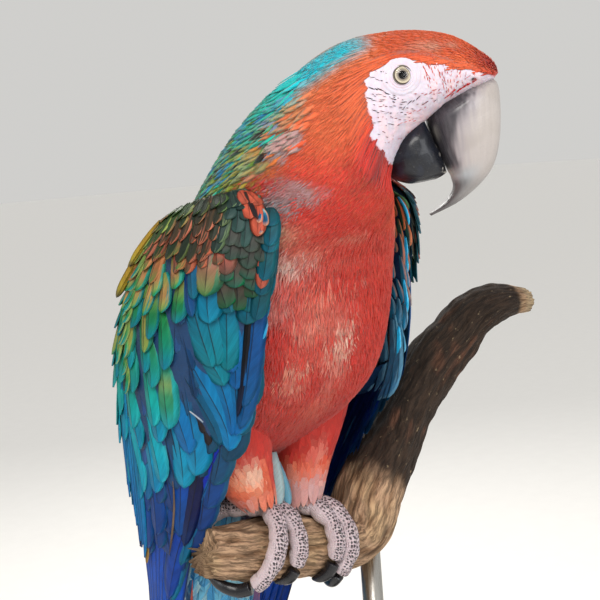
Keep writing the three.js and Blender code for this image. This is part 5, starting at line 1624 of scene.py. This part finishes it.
def buildStand():
    steel = Finish("brushed_steel", Metallic=1, Roughness=0.3)
    where = steel.where()
    x, y, z = steel.split(where)
    brush = steel.noise((x * 2500, y * 2500, z * 30), 1, 3)
    steel.surface(steel.mix(brush, "a9a6a0", "c9c7c2"), brush.within(0.3, 0.7, 0.24, 0.4), brush, 0.0001, 0.3)
    low, high = (np.array(corner) * 1000 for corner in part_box("stand_rod"))
    middle = (low + high) / 2
    radius = (high[0] - low[0]) / 2
    piece = turnedPiece("stand_rod_steel", [(radius * 0.9, low[2]), (radius, low[2] + 0.6), (radius, high[2])], 48,
                        (middle[0], middle[1], 0), steel.material)
    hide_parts("stand_rod")
    wood = Finish("stained_base", Roughness=0.35, Coat_Weight=0.3, Coat_Roughness=0.15)
    where = wood.where()
    x, y, z = wood.split(where)
    grain = wood.noise((x * 60, y * 4 + wood.noise(where, 4) * 1.5, z * 60), 1, 5, 0.6)
    pores = wood.noise((x * 900, y * 30, z * 900), 1, 2)
    colour = wood.mix(grain.within(0.35, 0.65), "1d1712", "33271d")
    wood.surface(wood.mix(pores.within(0.62, 0.72) * 0.6, colour, "0f0c0a"), grain.within(0.3, 0.7, 0.3, 0.42),
                 grain - pores * 0.6, 0.0002, 0.4)
    radius, top = 154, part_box("stand_base")[1][2] * 1000
    edge = [(radius - 4 + 4 * math.sin(a), top - 4 + 4 * math.cos(a)) for a in np.linspace(math.pi / 2, 0, 9)]
    profile = [(radius - 1, 0), (radius, 1)] + edge + [(radius * 0.5, top)]
    piece = turnedPiece("stand_base_wood", profile, 180, (0, 0, 0), wood.material)
    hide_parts("stand_base")
    print("stand built")


buildFaceLines()
buildBill()
buildEyes()
buildWings()
buildTail()
buildFeet()
buildBranch()
buildStand()


def buildCamera():
    data = bpy.data.cameras.new("camera")
    data.sensor_width = 36
    data.lens = view["lens"]
    camera = bpy.data.objects.new("camera", data)
    right, up = Vector(view["right"]), Vector(view["up"])
    turn = Matrix([right, up, right.cross(up)]).transposed()
    camera.matrix_world = Matrix.Translation(view["location"]) @ turn.to_4x4()
    bpy.context.scene.collection.objects.link(camera)
    bpy.context.scene.camera = camera


studio = {
    "floor": 30, "floorGlow": 0.16, "air": (0.838, 0.83, 0.808, 1), "airPower": 0.75,
    # each lamp: its place and aim in metres, its size, power and colour
    "lamps": {
        "key": ((-1.1, -0.7, 1.75), (0, 0, 0.55), (0.9, 0.9), 26, (1, 0.97, 0.93)),
        "front": ((-0.1, -1.5, 0.9), (0, 0, 0.55), (1.2, 0.8), 11, (0.95, 0.97, 1)),
        "rim": ((0.9, 1, 1.4), (0, 0, 0.6), (0.8, 0.8), 14, (1, 0.98, 0.95)),
    },
}


def buildStudio():
    finish = Finish("pale_floor", Roughness=0.9, Specular_IOR_Level=0.1, Emission_Color=(1, 1, 1, 1),
                    Emission_Strength=studio["floorGlow"])
    grain = finish.noise(finish.where(), 30, 3)
    finish.use(Base_Color=finish.mix(grain, "dedcd8", "e4e2de"), Roughness=grain.within(0.3, 0.7, 0.7, 0.8))
    corners = np.array([[-1, -1, 0], [1, -1, 0], [1, 1, 0], [-1, 1, 0]]) * studio["floor"]
    makePiece("floor", corners, [np.array([[0, 1, 2, 3]])], finish.material)
    world = bpy.data.worlds.new("studio")
    world.use_nodes = True
    colour, strength = world.node_tree.nodes["Background"].inputs[:2]
    colour.default_value, strength.default_value = studio["air"], studio["airPower"]
    scene = bpy.context.scene
    scene.world = world
    scene.view_settings.view_transform = "Standard"
    for name, (location, aim, size, power, colour) in studio["lamps"].items():
        data = bpy.data.lights.new(name, "AREA")
        data.shape, data.energy, data.color = "RECTANGLE", power, colour
        data.size, data.size_y = size
        lamp = bpy.data.objects.new(name, data)
        lamp.location = location
        lamp.rotation_euler = (Vector(aim) - Vector(location)).to_track_quat("-Z", "Y").to_euler()
        scene.collection.objects.link(lamp)


buildCamera()
buildStudio()
print("camera and studio set")
